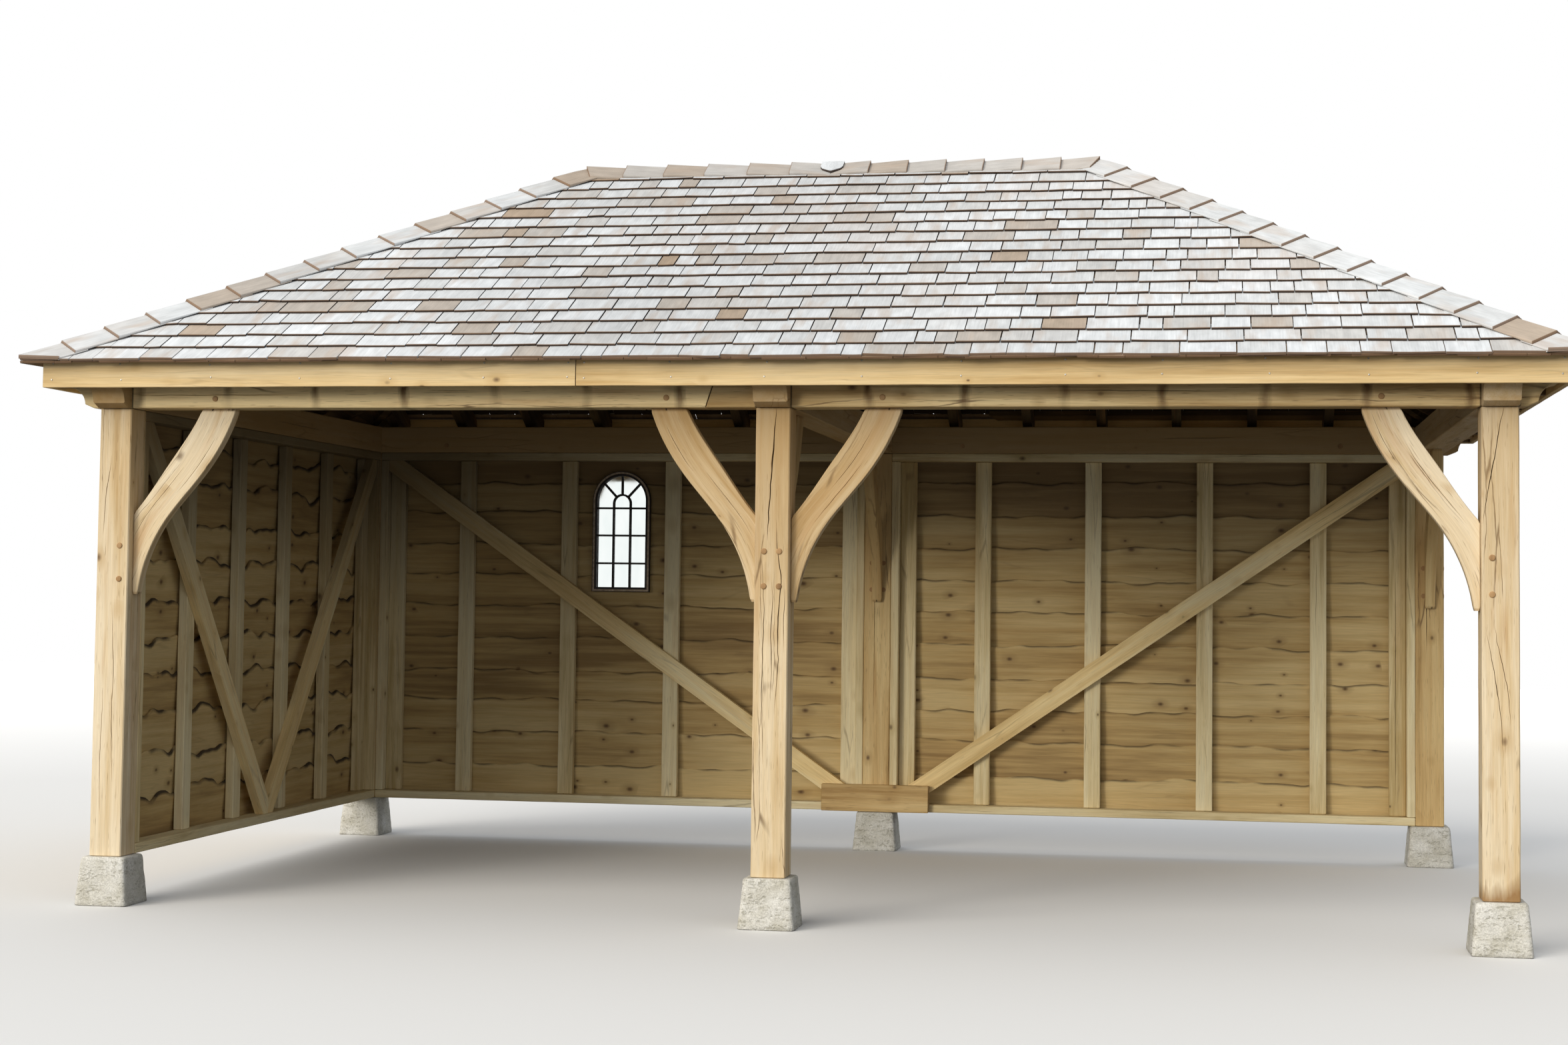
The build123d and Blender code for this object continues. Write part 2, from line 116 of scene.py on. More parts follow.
MIRROR_HALF = 0.169
MIRROR_SPRING = 1.944

# Finishing sizes: an eased arris, and half the run of a sharp step between two stations
EASE = 0.0035
STEP = 2e-4

# Where the rows of points lie along a shingle or a cap: at its foot, middle and head
ROWS = (0.0, 0.5, 1.0)
SIDES = ("front", "back", "left", "right")

# Directions, and the walls: half the length, the middle of the inner face, and the ways along and out
ORIGIN = (0, 0, 0)
WAYS = {"x": (1, 0, 0), "y": (0, 1, 0), "z": (0, 0, 1)}
UP = np.array([0, 0, 1.0])
HALF_BAY = (AXIS_X - POST) / 2
WALLS = {
    "back_left": (HALF_BAY, (-AXIS_X / 2, INNER_Y, 0), (1, 0, 0), (0, 1, 0)),
    "back_right": (HALF_BAY, (AXIS_X / 2, INNER_Y, 0), (1, 0, 0), (0, 1, 0)),
    "left": (INNER_Y, (-INNER_X, 0, 0), (0, 1, 0), (-1, 0, 0)),
}

# The photograph's camera, solved in its pixels, metres and radians
FRAME_SIZE = (2352, 1568)
FOCAL_PIXELS = 3645.96
CENTRE_PIXEL = (1174.766, 706.925)
CAMERA_PLACE = (1.8629, -11.9321, 1.4132)
YAW, TILT, ROLL = -0.176309, 0.050966, 0.012167

# The drying checks on the faces of the front posts, as read: each one's width, and its points up the
# post and across it from its middle
CHECKS = {
    "post_front_left": [(0.0028, [(1.66, -0.046), (1.80, -0.041), (1.98, -0.018)]),
                        (0.0026, [(0.55, 0.024), (0.86, 0.014), (1.02, 0.018), (1.30, 0.006)]),
                        (0.0022, [(0.40, -0.030), (0.66, -0.036), (0.95, -0.030)])],
    "post_front_middle": [(0.0062, [(1.66, -0.019), (1.70, -0.017), (1.83, -0.012), (1.96, -0.002),
                                    (2.08, 0.005), (2.213, 0.015)]),
                          (0.0040, [(0.92, 0.020), (1.14, 0.034), (1.30, 0.030), (1.48, 0.044),
                                    (1.59, 0.026), (1.72, 0.018)]),
                          (0.0028, [(0.70, -0.028), (1.00, -0.036), (1.36, -0.030), (1.56, -0.040)]),
                          (0.0030, [(1.00, 0.002), (1.12, 0.006), (1.25, 0.000), (1.38, 0.008),
                                    (1.46, 0.004)]),
                          (0.0022, [(1.18, 0.058), (1.30, 0.055), (1.44, 0.061)])],
    "post_front_right": [(0.0042, [(1.75, -0.068), (1.83, -0.056), (1.92, -0.038), (1.99, -0.026),
                                   (2.16, 0.002), (2.213, 0.016)]),
                         (0.0030, [(0.83, 0.004), (0.933, 0.003), (1.133, -0.025), (1.300, -0.058)]),
                         (0.0026, [(0.92, 0.038), (1.057, 0.029), (1.268, -0.017), (1.33, -0.026)])],
}

# How pale each timber is, from 0 to 1, as read
# The lower a timber's tone, the more it is browned high up, partly as painted shade of the eaves
TONES = {"post_front_left": 0.76, "post_front_middle": 0.12, "post_front_right": 0.58,
         "post_back_left": 0.30, "post_back_middle": 0.35, "post_back_right": 0.50,
         # The left front plate is the palest, partly as painted light
         "front_plate_left": 0.98, "front_plate_right": 0.55, "back_plate": 0.0,
         "side_plate_left": 0.05, "tie_beam": 0.15, "side_plate_right": 0.55}


# Small helpers
def linear(colour):
    """Return the linear RGBA of an sRGB hex value such as #c8a878, and any other value as it is."""
    if not isinstance(colour, str):
        return colour
    rgb = np.array([int(colour[i:i + 2], 16) for i in (1, 3, 5)]) / 255
    low = rgb / 12.92
    high = ((rgb + 0.055) / 1.055) ** 2.4
    return (*np.where(rgb <= 0.04045, low, high).tolist(), 1.0)


def seeded(name):
    """Return a random generator whose draws depend on the name alone."""
    return np.random.default_rng([ord(letter) for letter in name])


def unit(vector):
    """Return a vector, or an array of them, at length one."""
    vector = np.asarray(vector, float)
    return vector / np.linalg.norm(vector, axis=-1, keepdims=True)


def waves(place, rng, lengths, size):
    """Return a smooth random line: the sum of one sine per length, with random phases."""
    phases = rng.uniform(0, 2 * math.pi, len(lengths))
    total = sum(np.sin(2 * math.pi * place / length + phase)
                for length, phase in zip(lengths, phases))
    return size * total / len(lengths)


# Meshes
class Joined:
    """Gathers closed shells with their grain, ends, tone and dark marks of cracks, bark and painted shade,
    and makes one mesh of them.
    """

    def __init__(self):
        self.points, self.faces, self.count = [], [], 0
        self.values = {"grain": [], "ends": [], "tone": [], "crack": []}

    def add(self, rings, grain, tone, crack=0.0, ends=0.0):
        """Add tubes: rings (pieces, rings, points, 3) are joined in order and capped at both ends.

        ends holds 1 at the rings whose caps show end grain, and the place across the section.
        """
        n, r, m = rings.shape[:3]
        index = np.arange(n * r * m).reshape(n, r, m) + self.count
        after = np.roll(index, -1, axis=2)
        quads = np.stack([index[:, :-1], after[:, :-1], after[:, 1:], index[:, 1:]], axis=-1)
        self.faces += quads.reshape(-1, 4).tolist()
        self.faces += index[:, 0, ::-1].tolist()
        self.faces += index[:, -1].tolist()
        self.points.append(rings.reshape(-1, 3))
        for name, value in (("grain", grain), ("ends", ends)):
            self.values[name].append(np.broadcast_to(value, rings.shape).reshape(-1, 3))
        for name, value in (("tone", tone), ("crack", crack)):
            self.values[name].append(np.broadcast_to(value, rings.shape[:3]).reshape(-1, 1))
        self.count += n * r * m

    def mesh(self, name, smooth_below=35.0):
        """Return the mesh with its patterns as point attributes and its faces outwards."""
        mesh = bpy.data.meshes.new(name)
        mesh.from_pydata(np.concatenate(self.points), [], self.faces)
        for kind, parts in self.values.items():
            values = np.concatenate(parts).astype(np.float32)
            form, key = ("FLOAT_VECTOR", "vector") if values.shape[1] == 3 else ("FLOAT", "value")
            mesh.attributes.new(kind, form, "POINT").data.foreach_set(key, values.ravel())
        work = bmesh.new()
        work.from_mesh(mesh)
        bmesh.ops.recalc_face_normals(work, faces=work.faces)
        work.to_mesh(mesh)
        work.free()
        mesh.shade_smooth()
        mesh.set_sharp_from_angle(angle=math.radians(smooth_below))
        return mesh


def place_piece(name, mesh, material, nodes=()):
    """Link a mesh as a piece that rides on the body and stands for any CAD nodes given."""
    piece = bpy.data.objects.new(name, mesh)
    bpy.context.scene.collection.objects.link(piece)
    mesh.materials.append(material)
    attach(piece, BODY)
    if nodes:
        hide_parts(*nodes)


def dress(node, material):
    """Give a CAD node's object one material."""
    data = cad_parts[node].data
    data.materials.clear()
    data.materials.append(material)


# What each short name adds to a material: the node's type, its settings, its inputs in the order that
# they are given, and the output that is used, where None stands for all of them
KINDS = {
    "value": ("Attribute", {}, (), "Fac"),
    "vector": ("Attribute", {}, (), "Vector"),
    "place": ("TexCoord", {}, (), "Object"),
    "turned": ("Mapping", {}, ("Vector", "Rotation"), 0),
    "parts": ("SeparateXYZ", {}, (0,), None),
    "joined": ("CombineXYZ", {}, (0, 1, 2), 0),
    "channels": ("SeparateColor", {}, (0,), None),
    "stretch": ("VectorMath", {"operation": "MULTIPLY"}, (0, 1), 0),
    "shift": ("VectorMath", {"operation": "ADD"}, (0, 1), 0),
    "folded": ("VectorMath", {"operation": "ABSOLUTE"}, (0,), 0),
    "length": ("VectorMath", {"operation": "LENGTH"}, (0,), "Value"),
    "noise": ("TexNoise", {"Scale": 1.0}, ("Vector", "Detail", "Roughness"), "Fac"),
    "cells": ("TexVoronoi", {"Scale": 1.0}, ("Vector",), None),
    "reach": ("MapRange", {}, ("Value", "From Min", "From Max", "To Min", "To Max"), 0),
    "ramp": ("ValToRGB", {}, ("Fac",), "Color"),
    "blend": ("Mix", {"data_type": "RGBA"}, (0, 6, 7), 2),
    "shade": ("Mix", {"data_type": "RGBA", "blend_type": "MULTIPLY", 0: 1.0}, (6, 7), 2),
    "bump": ("Bump", {}, ("Height", "Strength", "Distance"), 0),
    "shader": ("BsdfPrincipled", {}, ("Base Color", "Roughness", "Normal"), 0),
    "glowing": ("BsdfPrincipled", {"Emission Color": "#ffffff"},
                ("Base Color", "Roughness", "Emission Strength"), 0),
    "surface": ("OutputMaterial", {}, ("Surface",), None),
    "rays": ("LightPath", {}, (), None),
    "background": ("Background", {}, ("Color", "Strength"), 0),
    "either": ("MixShader", {}, (0, 1, 2), 0),
    "sky": ("OutputWorld", {}, ("Surface",), None),
}
KINDS.update({name: ("Math", {"operation": name.upper()}, (0, 1, 2), 0) for name in (
    "add", "subtract", "multiply", "divide", "absolute", "maximum", "minimum", "arctan2", "wrap")})


def put(tree, kind, *values, stops=(), **settings):
    """Add a node with its settings and links, and return the output that KINDS names for it.

    The values go to the inputs that KINDS lists, in order. settings are the node's own, or more of its
    inputs by name. A socket is linked, and a hex colour turned linear. stops are a ramp's places
    and colours.
    """
    blender_type, usual, inputs, output = KINDS[kind]
    node = tree.nodes.new("ShaderNode" + blender_type)
    for name, value in {**usual, **settings, **dict(zip(inputs, values))}.items():
        if isinstance(value, bpy.types.NodeSocket):
            tree.links.new(value, node.inputs[name])
        elif isinstance(name, int) or name in node.inputs:
            node.inputs[name].default_value = linear(value)
        else:
            setattr(node, name, value)
    if stops:
        elements = node.color_ramp.elements
        while len(elements) < len(stops):
            elements.new(0.5)
        for element, (position, colour) in zip(elements, stops):
            element.position = position
            element.color = linear(colour)
    return node.outputs if output is None else node.outputs[output]


def new_material(name):
    """Return an empty material and the function that adds a node to it."""
    material = bpy.data.materials.new(name)
    material.use_nodes = True
    material.node_tree.nodes.clear()
    return material, partial(put, material.node_tree)


# Materials
def oak(name, colours=None, turn=None, folded=False, checks=1.0, knots=0.70, flat="3D", stain=None,
        spread=0.05):
    """Sawn green oak: pale honey with soft figure, a few knots, fine drying checks and a dull face.

    The pattern runs along the piece's own grain or, where turn is given, along a CAD node's object
    coordinates turned by it, and folded about the middle where both sides of the roof share it.
    """
    material, node = new_material(name)
    settings = bpy.context.scene.gazebo_timber
    light, middle, dark = colours or (tuple(settings.light), tuple(settings.middle), tuple(settings.dark))
    if turn is None:
        grain = node("vector", attribute_name="grain")
    else:
        grain = node("turned", node("folded", node("place")) if folded else node("place"), turn)
    # Figure about 35 mm wide and 1 m long, and fibres drawn 5 mm wide, coarser than the real 0.3 mm
    drift = node("noise", node("stretch", grain, (0.8, 3.2, 3.2)))
    figure = node("noise", node("stretch", grain, (1.1, 26.0, 26.0)), 5.0, 0.62)
    fibre = node("noise", node("stretch", grain, (7.0, 230.0, 230.0)))
    mixed = node("add", node("multiply", figure, 0.5), node("multiply", drift, 0.5))
    tone = node("value", attribute_name="tone")
    mixed = node("add", mixed, node("reach", tone, 0.0, 1.0, -spread, spread))
    colour = node("ramp", mixed, stops=[(0.34, dark), (0.47, middle), (0.62, light)])
    colour = node("shade", colour, node("reach", fibre, 0.25, 0.75, 0.89, 1.07))
    # Short dark flecks 2 mm wide and 40 to 80 mm long
    fleck = node("noise", node("stretch", grain, (13.0, 200.0, 200.0)), 1.0)
    colour = node("blend", node("reach", fleck, 0.65, 0.75, 0.0, 0.5 * checks), colour, "#7d5f38")
    # Amber streaks 50 mm wide, where tannin has run
    amber = node("noise", node("stretch", grain, (1.3, 15.0, 15.0)), 3.0)
    colour = node("blend", node("reach", amber, 0.56, 0.72, 0.0, 0.45 * checks), colour, "#b98a50")
    # Knots 6 to 22 mm wide in some of the cells, each in a darker halo
    cells = node("cells", node("stretch", grain, (6.0, 9.0, 9.0)), voronoi_dimensions=flat)
    draws = node("channels", cells["Color"])
    chosen = node("reach", draws[0], 1.0 - knots, 1.02 - knots)
    away = node("divide", cells["Distance"], node("reach", draws[1], 0.0, 1.0, 0.35, 1.3))
    halo = node("multiply", node("reach", away, 0.06, 0.36, 0.6, 0.0), chosen)
    core = node("multiply", node("reach", away, 0.03, 0.12, 0.9, 0.0), chosen)
    colour = node("blend", core, node("blend", halo, colour, dark), "#5c4126")
    # Fine drying checks that run with the grain, drawn 3 mm wide, coarser than the real 1 mm
    bend = node("noise", node("stretch", grain, (2.6, 14.0, 14.0)), 4.0, 0.6)
    bent = node("joined", 0.0, node("multiply", bend, 0.9))
    bent = node("shift", node("stretch", grain, (1.3, 21.0, 21.0)), bent)
    edge = node("cells", bent, feature="DISTANCE_TO_EDGE")["Distance"]
    where = node("noise", node("stretch", grain, (1.6, 9.0, 9.0)))
    where = node("reach", where, 0.54, 0.64, 0.0, checks)
    line = node("multiply", node("reach", edge, 0.008, 0.038, 0.8, 0.0), where)
    colour = node("blend", line, colour, "#6b5133")
    if stain:
        colour = stain(node, colour)
    # Sawn ends show rings and checks that run out from the heart
    parts = node("parts", node("vector", attribute_name="ends"))
    section = node("joined", parts[1], parts[2])
    far = node("length", section)
    wobble = node("multiply", node("noise", node("stretch", section, (30.0, 30.0, 1.0)), 3.0), 0.35)
    spoke = node("multiply", node("arctan2", parts[2], parts[1]), 1.5 / math.pi)
    spoke = node("add", node("add", spoke, wobble), node("multiply", tone, 3.0))
    aside = node("multiply", node("absolute", node("wrap", spoke, 0.5, -0.5)), node("multiply", far, 2.1))
    short = node("reach", far, 0.060, 0.088, 1.0, 0.0)
    split = node("multiply", node("reach", aside, 0.0010, 0.0038, 1.0, 0.0), short)
    rings = node("noise", node("stretch", node("joined", far, tone), (260.0, 9.0, 1.0)), 1.0)
    sawn = node("shade", node("blend", 0.45, colour, "#a5824e"), node("reach", rings, 0.3, 0.7, 0.86, 1.04))
    sawn = node("blend", node("multiply", split, 0.92), sawn, "#33240f")
    colour = node("blend", node("reach", parts[0], 0.45, 0.55), colour, sawn)
    # Dark brown inside the checks cut into the mesh and on the boards' bark, and painted shade in
    # tight joints and under the boards' laps
    crack = node("value", attribute_name="crack")
    colour = node("blend", node("reach", crack, 0.10, 0.80, 0.0, 0.95), colour, "#2c2013")
    height = node("add", node("multiply", fibre, 0.35), node("multiply", figure, 0.4))
    bump = node("bump", node("subtract", height, line), 0.5, 0.002)
    node("surface", node("shader", colour, node("reach", figure, 0.3, 0.7, 0.82, 0.66), bump))
    return material


def eaves_shade_and_weathering(node, colour):
    """Leave the frame browner high up, partly weathering under the eaves and partly painted eave shade, most
    on the dark timbers.
    """
    high = node("reach", node("parts", node("place"))[2], 1.15, 2.15, 0.0, 0.85)
    factor = node("multiply", high, node("subtract", 1.0, node("value", attribute_name="tone")))
    return node("blend", factor, colour, "#a78755")


def painted_shade_towards_plate(node, colour):
    """Darken the inner face of the boards towards the plate with painted shade of the plate and the eaves."""
    high = node("reach", node("parts", node("place"))[2], 1.55, 2.15, 0.0, 0.60)
    depth = node("parts", node("vector", attribute_name="grain"))[2]
    inner = node("reach", depth, 0.018, 0.026, 1.0, 0.0)
    return node("blend", node("multiply", high, inner), colour, "#57442a")


def painted_shade_corner(node, colour):
    """Darken the wall timbers in the upper left corner with painted shade."""
    x, _, z = node("parts", node("place"))
    factor = node("multiply", node("reach", z, 1.25, 2.10, 0.0, 0.80), node("reach", x, -0.8, -2.6))
    return node("blend", factor, colour, "#5a482d")


def wet_foot(node, colour):
    """Darken the lowest 120 mm of a post, where rain has splashed it, higher at its right side."""
    place = node("place")
    x, _, z = node("parts", place)
    ragged = node("multiply", node("noise", node("stretch", place, (30.0, 30.0, 7.0)), 3.0), 0.11)
    lean = node("reach", x, AXIS_X, AXIS_X + POST / 2, 0.0, 0.045)
    level = node("subtract", node("subtract", z, ragged), lean)
    wet = node("reach", level, PAD_HEIGHT - 0.050, PAD_HEIGHT + 0.015, 0.9, 0.0)
    # Above the foot, the whole post gets the browning and painted eave shade high up
    return node("blend", wet, eaves_shade_and_weathering(node, colour), "#8d6736")


def rafter_marks(node, colour):
    """Draw the brown water marks, 35 mm wide, that each rafter's foot has left down the plate."""
    place = node("place")
    x, _, z = node("parts", place)
    wander = node("subtract", node("noise", node("stretch", place, (9.0, 2.0, 9.0))), 0.5)
    moved = node("add", x, node("multiply", wander, 0.05))
    away = node("absolute", node("wrap", moved, RAFTER_GAUGE / 2, -RAFTER_GAUGE / 2))
    ragged = node("multiply", node("noise", node("stretch", place, (60.0, 60.0, 22.0)), 3.0), 0.020)
    mark = node("reach", node("add", away, ragged), 0.015, 0.038, 1.0, 0.0)
    patch = node("reach", node("noise", node("stretch", place, (3.4, 3.4, 7.0))), 0.34, 0.60, 0.25, 0.95)
    patch = node("multiply", patch, node("reach", z, PLATE_FOOT, PLATE_FOOT + 0.08, 0.55, 1.0))
    colour = node("blend", node("multiply", mark, patch), colour, "#63431d")
    # The tight joints beside the crossing timbers are darkened with painted shade
    crossing = node("absolute", node("wrap", x, AXIS_X / 2, -AXIS_X / 2))
    aside = node("absolute", node("subtract", crossing, POST / 2 + 0.0015))
    return node("blend", node("reach", aside, 0.002, 0.006, 0.8, 0.0), colour, "#3a2a17")


# The oak finishes: what each gives the eye, and how it differs from plain sawn oak
PAINTED_SHADE_OAK = ("#75613f", "#5c482b", "#42311c")
FINISHES = {
    # The open frame: bleached pale by the sun, and browner high up, partly weathering and partly painted
    # shade of the eaves
    "sawn_green_oak": {"stain": eaves_shade_and_weathering},
    # The right front post: the same, with a damp brown foot
    "oak_with_wet_foot": {"stain": wet_foot},
    # The back posts and the inner braces: warmer and less bleached
    "honey_oak": {"colours": ("#e3c890", "#d0af76", "#ab8750"), "stain": eaves_shade_and_weathering},
    # The front plates: pale, partly painted light where the fascia shades them, with a brown water mark under
    # each rafter
    "oak_with_rafter_marks": {"colours": ("#f3daa4", "#cbac76", "#a5824c"), "stain": rafter_marks,
                              "spread": 0.14},
    # The walls' rims and studs: pale and even, with painted shade in the upper left corner
    "panel_oak": {"colours": ("#eddfb6", "#dfcb9b", "#bba26d"), "checks": 0.5, "stain": painted_shade_corner,
                  "spread": 0.08},
    # The walls' flat braces: the yellowest timber, partly as if newly sawn and partly painted light, with
    # painted shade in the upper left corner
    "fresh_sawn_and_lit_oak": {"colours": ("#fdebbb", "#f6d99c", "#dcba7c"), "checks": 0.4, "stain": painted_shade_corner},
    # The fascias: smooth and even, with few knots
    "planed_oak_fascia": {"colours": ("#ebd3a4", "#dfc28d", "#c6a46c"), "checks": 0.25, "knots": 0.35},
    # The boards: the brownest oak, varied from board to board, and painted in shade on the inner face towards
    # the plate
    "waney_oak_board": {"colours": ("#d3b982", "#bd9f67", "#987b4c"), "checks": 0.2, "knots": 0.23,
                        "flat": "2D", "stain": painted_shade_towards_plate, "spread": 0.15},
    # The pegs: small darker dots
    "cleft_oak_peg": {"colours": ("#b59063", "#a37e52", "#876640"), "checks": 0.0, "knots": -0.1},
    # The roof's underside: dull brown, darkened nearly to black as painted shade under the roof
    "sawn_rafter_long": {"colours": PAINTED_SHADE_OAK, "turn": (PITCH, 0, math.pi / 2), "folded": True},
    "sawn_rafter_end": {"colours": PAINTED_SHADE_OAK, "turn": (0, PITCH, 0), "folded": True},
    "sawn_batten": {"colours": PAINTED_SHADE_OAK, "turn": (0, 0, 0)},
}


def finish(name):
    """Return one of the oak finishes, made when it is first asked for."""
    return bpy.data.materials.get(name) or oak(name, **FINISHES[name])


def shingle_material():
    """Split and sawn red cedar, weathered silver to lilac grey, with some fresh tan ones."""
    material, node = new_material("weathered_cedar")
    grain = node("vector", attribute_name="grain")
    # The last stop, near black, is painted shade on the hidden heads that show in the joints and from below
    colour = node("ramp", node("value", attribute_name="tone"), stops=[
        (0.00, "#ebeff3"), (0.30, "#dadddf"), (0.50, "#c6c0b9"), (0.70, "#b6a28c"), (0.86, "#957d65"),
        (0.96, "#2e2218")])
    # Saw lines 4 mm apart down the shingle and soft patches 50 mm across
    lines = node("noise", node("stretch", grain, (5.0, 150.0, 60.0)), 3.0, 0.6)
    patch = node("noise", node("stretch", grain, (9.0, 24.0, 3.0)), 3.0)
    patch = node("reach", patch, 0.3, 0.7, 0.87, 1.07)
    colour = node("shade", colour, node("multiply", node("reach", lines, 0.25, 0.75, 0.86, 1.07), patch))
    warm = node("noise", node("stretch", grain, (3.0, 11.0, 5.0)))
    colour = node("blend", node("reach", warm, 0.54, 0.72, 0.0, 0.50), colour, "#bfab99")
    # Broad drifts of pink and of grey, 1 m across, run over the whole slope
    place = node("place")
    drift = node("noise", node("stretch", place, (0.9, 0.9, 1.6)), 3.0)
    colour = node("blend", node("reach", drift, 0.52, 0.70, 0.0, 0.30), colour, "#c6b4a4")
    colour = node("shade", colour, node("reach", drift, 0.32, 0.52, 0.88, 1.0))
    # Shingles are a little darker the nearer they lie to x = -0.3 m, most within 0.3 m of it
    middle = node("absolute", node("add", node("parts", place)[0], 0.3))
    colour = node("shade", colour, node("reach", middle, 0.3, 2.0, 0.81, 0.96))
    # The sawn butt is brown, partly its own end grain and partly painted shade, fading out 6 mm up
    # the face above it; the underside is dark as painted shade
    butt = node("reach", node("parts", grain)[0], 0.0005, 0.0060, 0.92, 0.0)
    colour = node("blend", butt, colour, "#7e6147")
    under = node("reach", node("value", attribute_name="crack"), 0.05, 0.40)
    colour = node("blend", under, colour, "#2a1d14")
    node("surface", node("shader", colour, 0.85, node("bump", lines, 0.5, 0.0015)))
    return material


def stone_material():
    """Cast stone: pale buff with exposed grit of 3 to 8 mm, rough and matt."""
    material, node = new_material("cast_stone")
    place = node("place")
    broad = node("noise", node("stretch", place, (9.0, 9.0, 9.0)), 4.0, 0.6)
    grit = node("noise", node("stretch", place, (160.0, 160.0, 160.0)), 3.0, 0.7)
    colour = node("ramp", broad, stops=[(0.32, "#c4c0b2"), (0.5, "#d5d2c8"), (0.68, "#e3e1da")])
    colour = node("shade", colour, node("reach", grit, 0.35, 0.65, 0.78, 1.10))
    # Open pores lie in rows 20 mm apart, where the mix was tamped
    pore = node("noise", node("stretch", place, (70.0, 70.0, 130.0)), 3.0, 0.6)
    row = node("noise", node("stretch", place, (9.0, 9.0, 48.0)))
    open_pore = node("multiply", node("reach", pore, 0.50, 0.62), node("reach", row, 0.44, 0.60, 0.12, 0.60))
    colour = node("blend", open_pore, colour, "#8f8a76")
    bump = node("bump", node("subtract", grit, open_pore), 0.9, 0.003)
    node("surface", node("shader", colour, 0.92, bump))
    return material


def metal_material():
    """Painted steel: a brown grey outer band, worn to grey, round a brown black frame and bars."""
    material, node = new_material("worn_painted_metal")
    place = node("place")
    x, _, z = node("parts", place)
    wear = node("noise", node("stretch", place, (60.0, 60.0, 60.0)), 4.0, 0.65)
    inner = node("ramp", wear, stops=[(0.35, "#191410"), (0.6, "#2b221b"), (0.78, "#4d4339")])
    outer = node("ramp", wear, stops=[(0.35, "#85735f"), (0.55, "#ab9882"), (0.7, "#c8b9a4")])
    # The distance in from the arch's outer edge parts the two
    rise = node("maximum", node("subtract", z, MIRROR_SPRING), 0.0)
    far = node("length", node("joined", node("subtract", x, MIRROR_X), rise))
    depth = node("minimum", node("subtract", MIRROR_HALF, far), node("subtract", z, MIRROR_FOOT))
    band = node("multiply", node("reach", depth, 0.003, 0.004), node("reach", depth, 0.013, 0.0145, 1.0, 0.0))
    colour = node("blend", band, inner, outer)
    rough = node("reach", wear, 0.3, 0.7, 0.42, 0.65)
    node("surface", node("shader", colour, rough, node("bump", wear, 0.3, 0.001), Metallic=0.3))
    return material


def nail_material():
    """Bright ring shank nail heads: galvanised steel, dull and a little stained."""
    material, node = new_material("galvanised_steel")
    dull = node("noise", node("stretch", node("place"), (300.0, 300.0, 300.0)))
    colour = node("ramp", dull, stops=[(0.35, "#8e8778"), (0.65, "#d8d4ca")])
    rough = node("reach", dull, 0.3, 0.7, 0.35, 0.6)
    node("surface", node("shader", colour, rough, node("bump", dull, 0.2, 0.0005), Metallic=0.7))
    return material


def mirror_material():
    """Silvered glass: nearly a perfect reflection, with faint smears."""
    material, node = new_material("silvered_glass")
    smear = node("noise", node("stretch", node("place"), (14.0, 14.0, 5.0)), 3.0)
    colour = node("ramp", smear, stops=[(0.3, "#f0f7f5"), (0.7, "#fafefc")])
    rough = node("reach", smear, 0.4, 0.8, 0.02, 0.06)
    node("surface", node("shader", colour, rough, node("bump", smear, 0.03, 0.001), Metallic=1.0))
    return material


# Timber
def groove(stations, face, path, width, depth, rng, wander=0.002):
    """Return a drying check in one face of a timber.

    path holds (along, across) points; between them the check runs straight and wanders by sines and
    by small jags. Its width and depth rise and fall as the sine of the way along it, to the power 0.6.
    """
    along, across = np.array(path, float).T
    part = np.clip((stations - along[0]) / (along[-1] - along[0]), 0, 1)
    size = np.sin(math.pi * part) ** 0.6 * rng.uniform(0.7, 1.1, len(stations))
    centre = np.interp(stations, along, across) + waves(stations, rng, (0.61, 0.23, 0.11), wander)
    centre += rng.normal(0, wander * 0.45, len(stations))
    return {"face": face, "centre": centre, "half": 0.0004 + size * width / 2, "depth": depth * size}


def random_grooves(stations, rng, low, high, near, far, count, width=0.003, faces=range(4)):
    """Return some checks at random places, at most two on one face and then in its two halves."""
    found = []
    total = stations[-1] - stations[0]
    for face in rng.permutation(8)[:count] % 4:
        a, b = (low, high) if face in (0, 2) else (near, far)
        run = min(rng.uniform(0.3, 1.3), total * 0.75)
        start = stations[0] + rng.uniform(0.02, 0.98 * (total - run) + 0.02)
        part = rng.uniform(0.56, 0.72) if any(g["face"] == face for g in found) else rng.uniform(0.28, 0.44)
        place = a + (b - a) * part
        lean = (b - a) * rng.uniform(-0.05, 0.05)
        found.append(groove(stations, int(face), [(start, place - lean), (start + run, place + lean)],
                            width * rng.uniform(0.5, 1.2), 0.010 * rng.uniform(0.4, 1.2), rng, 0.0015))
    return [g for g in found if g["face"] in faces]


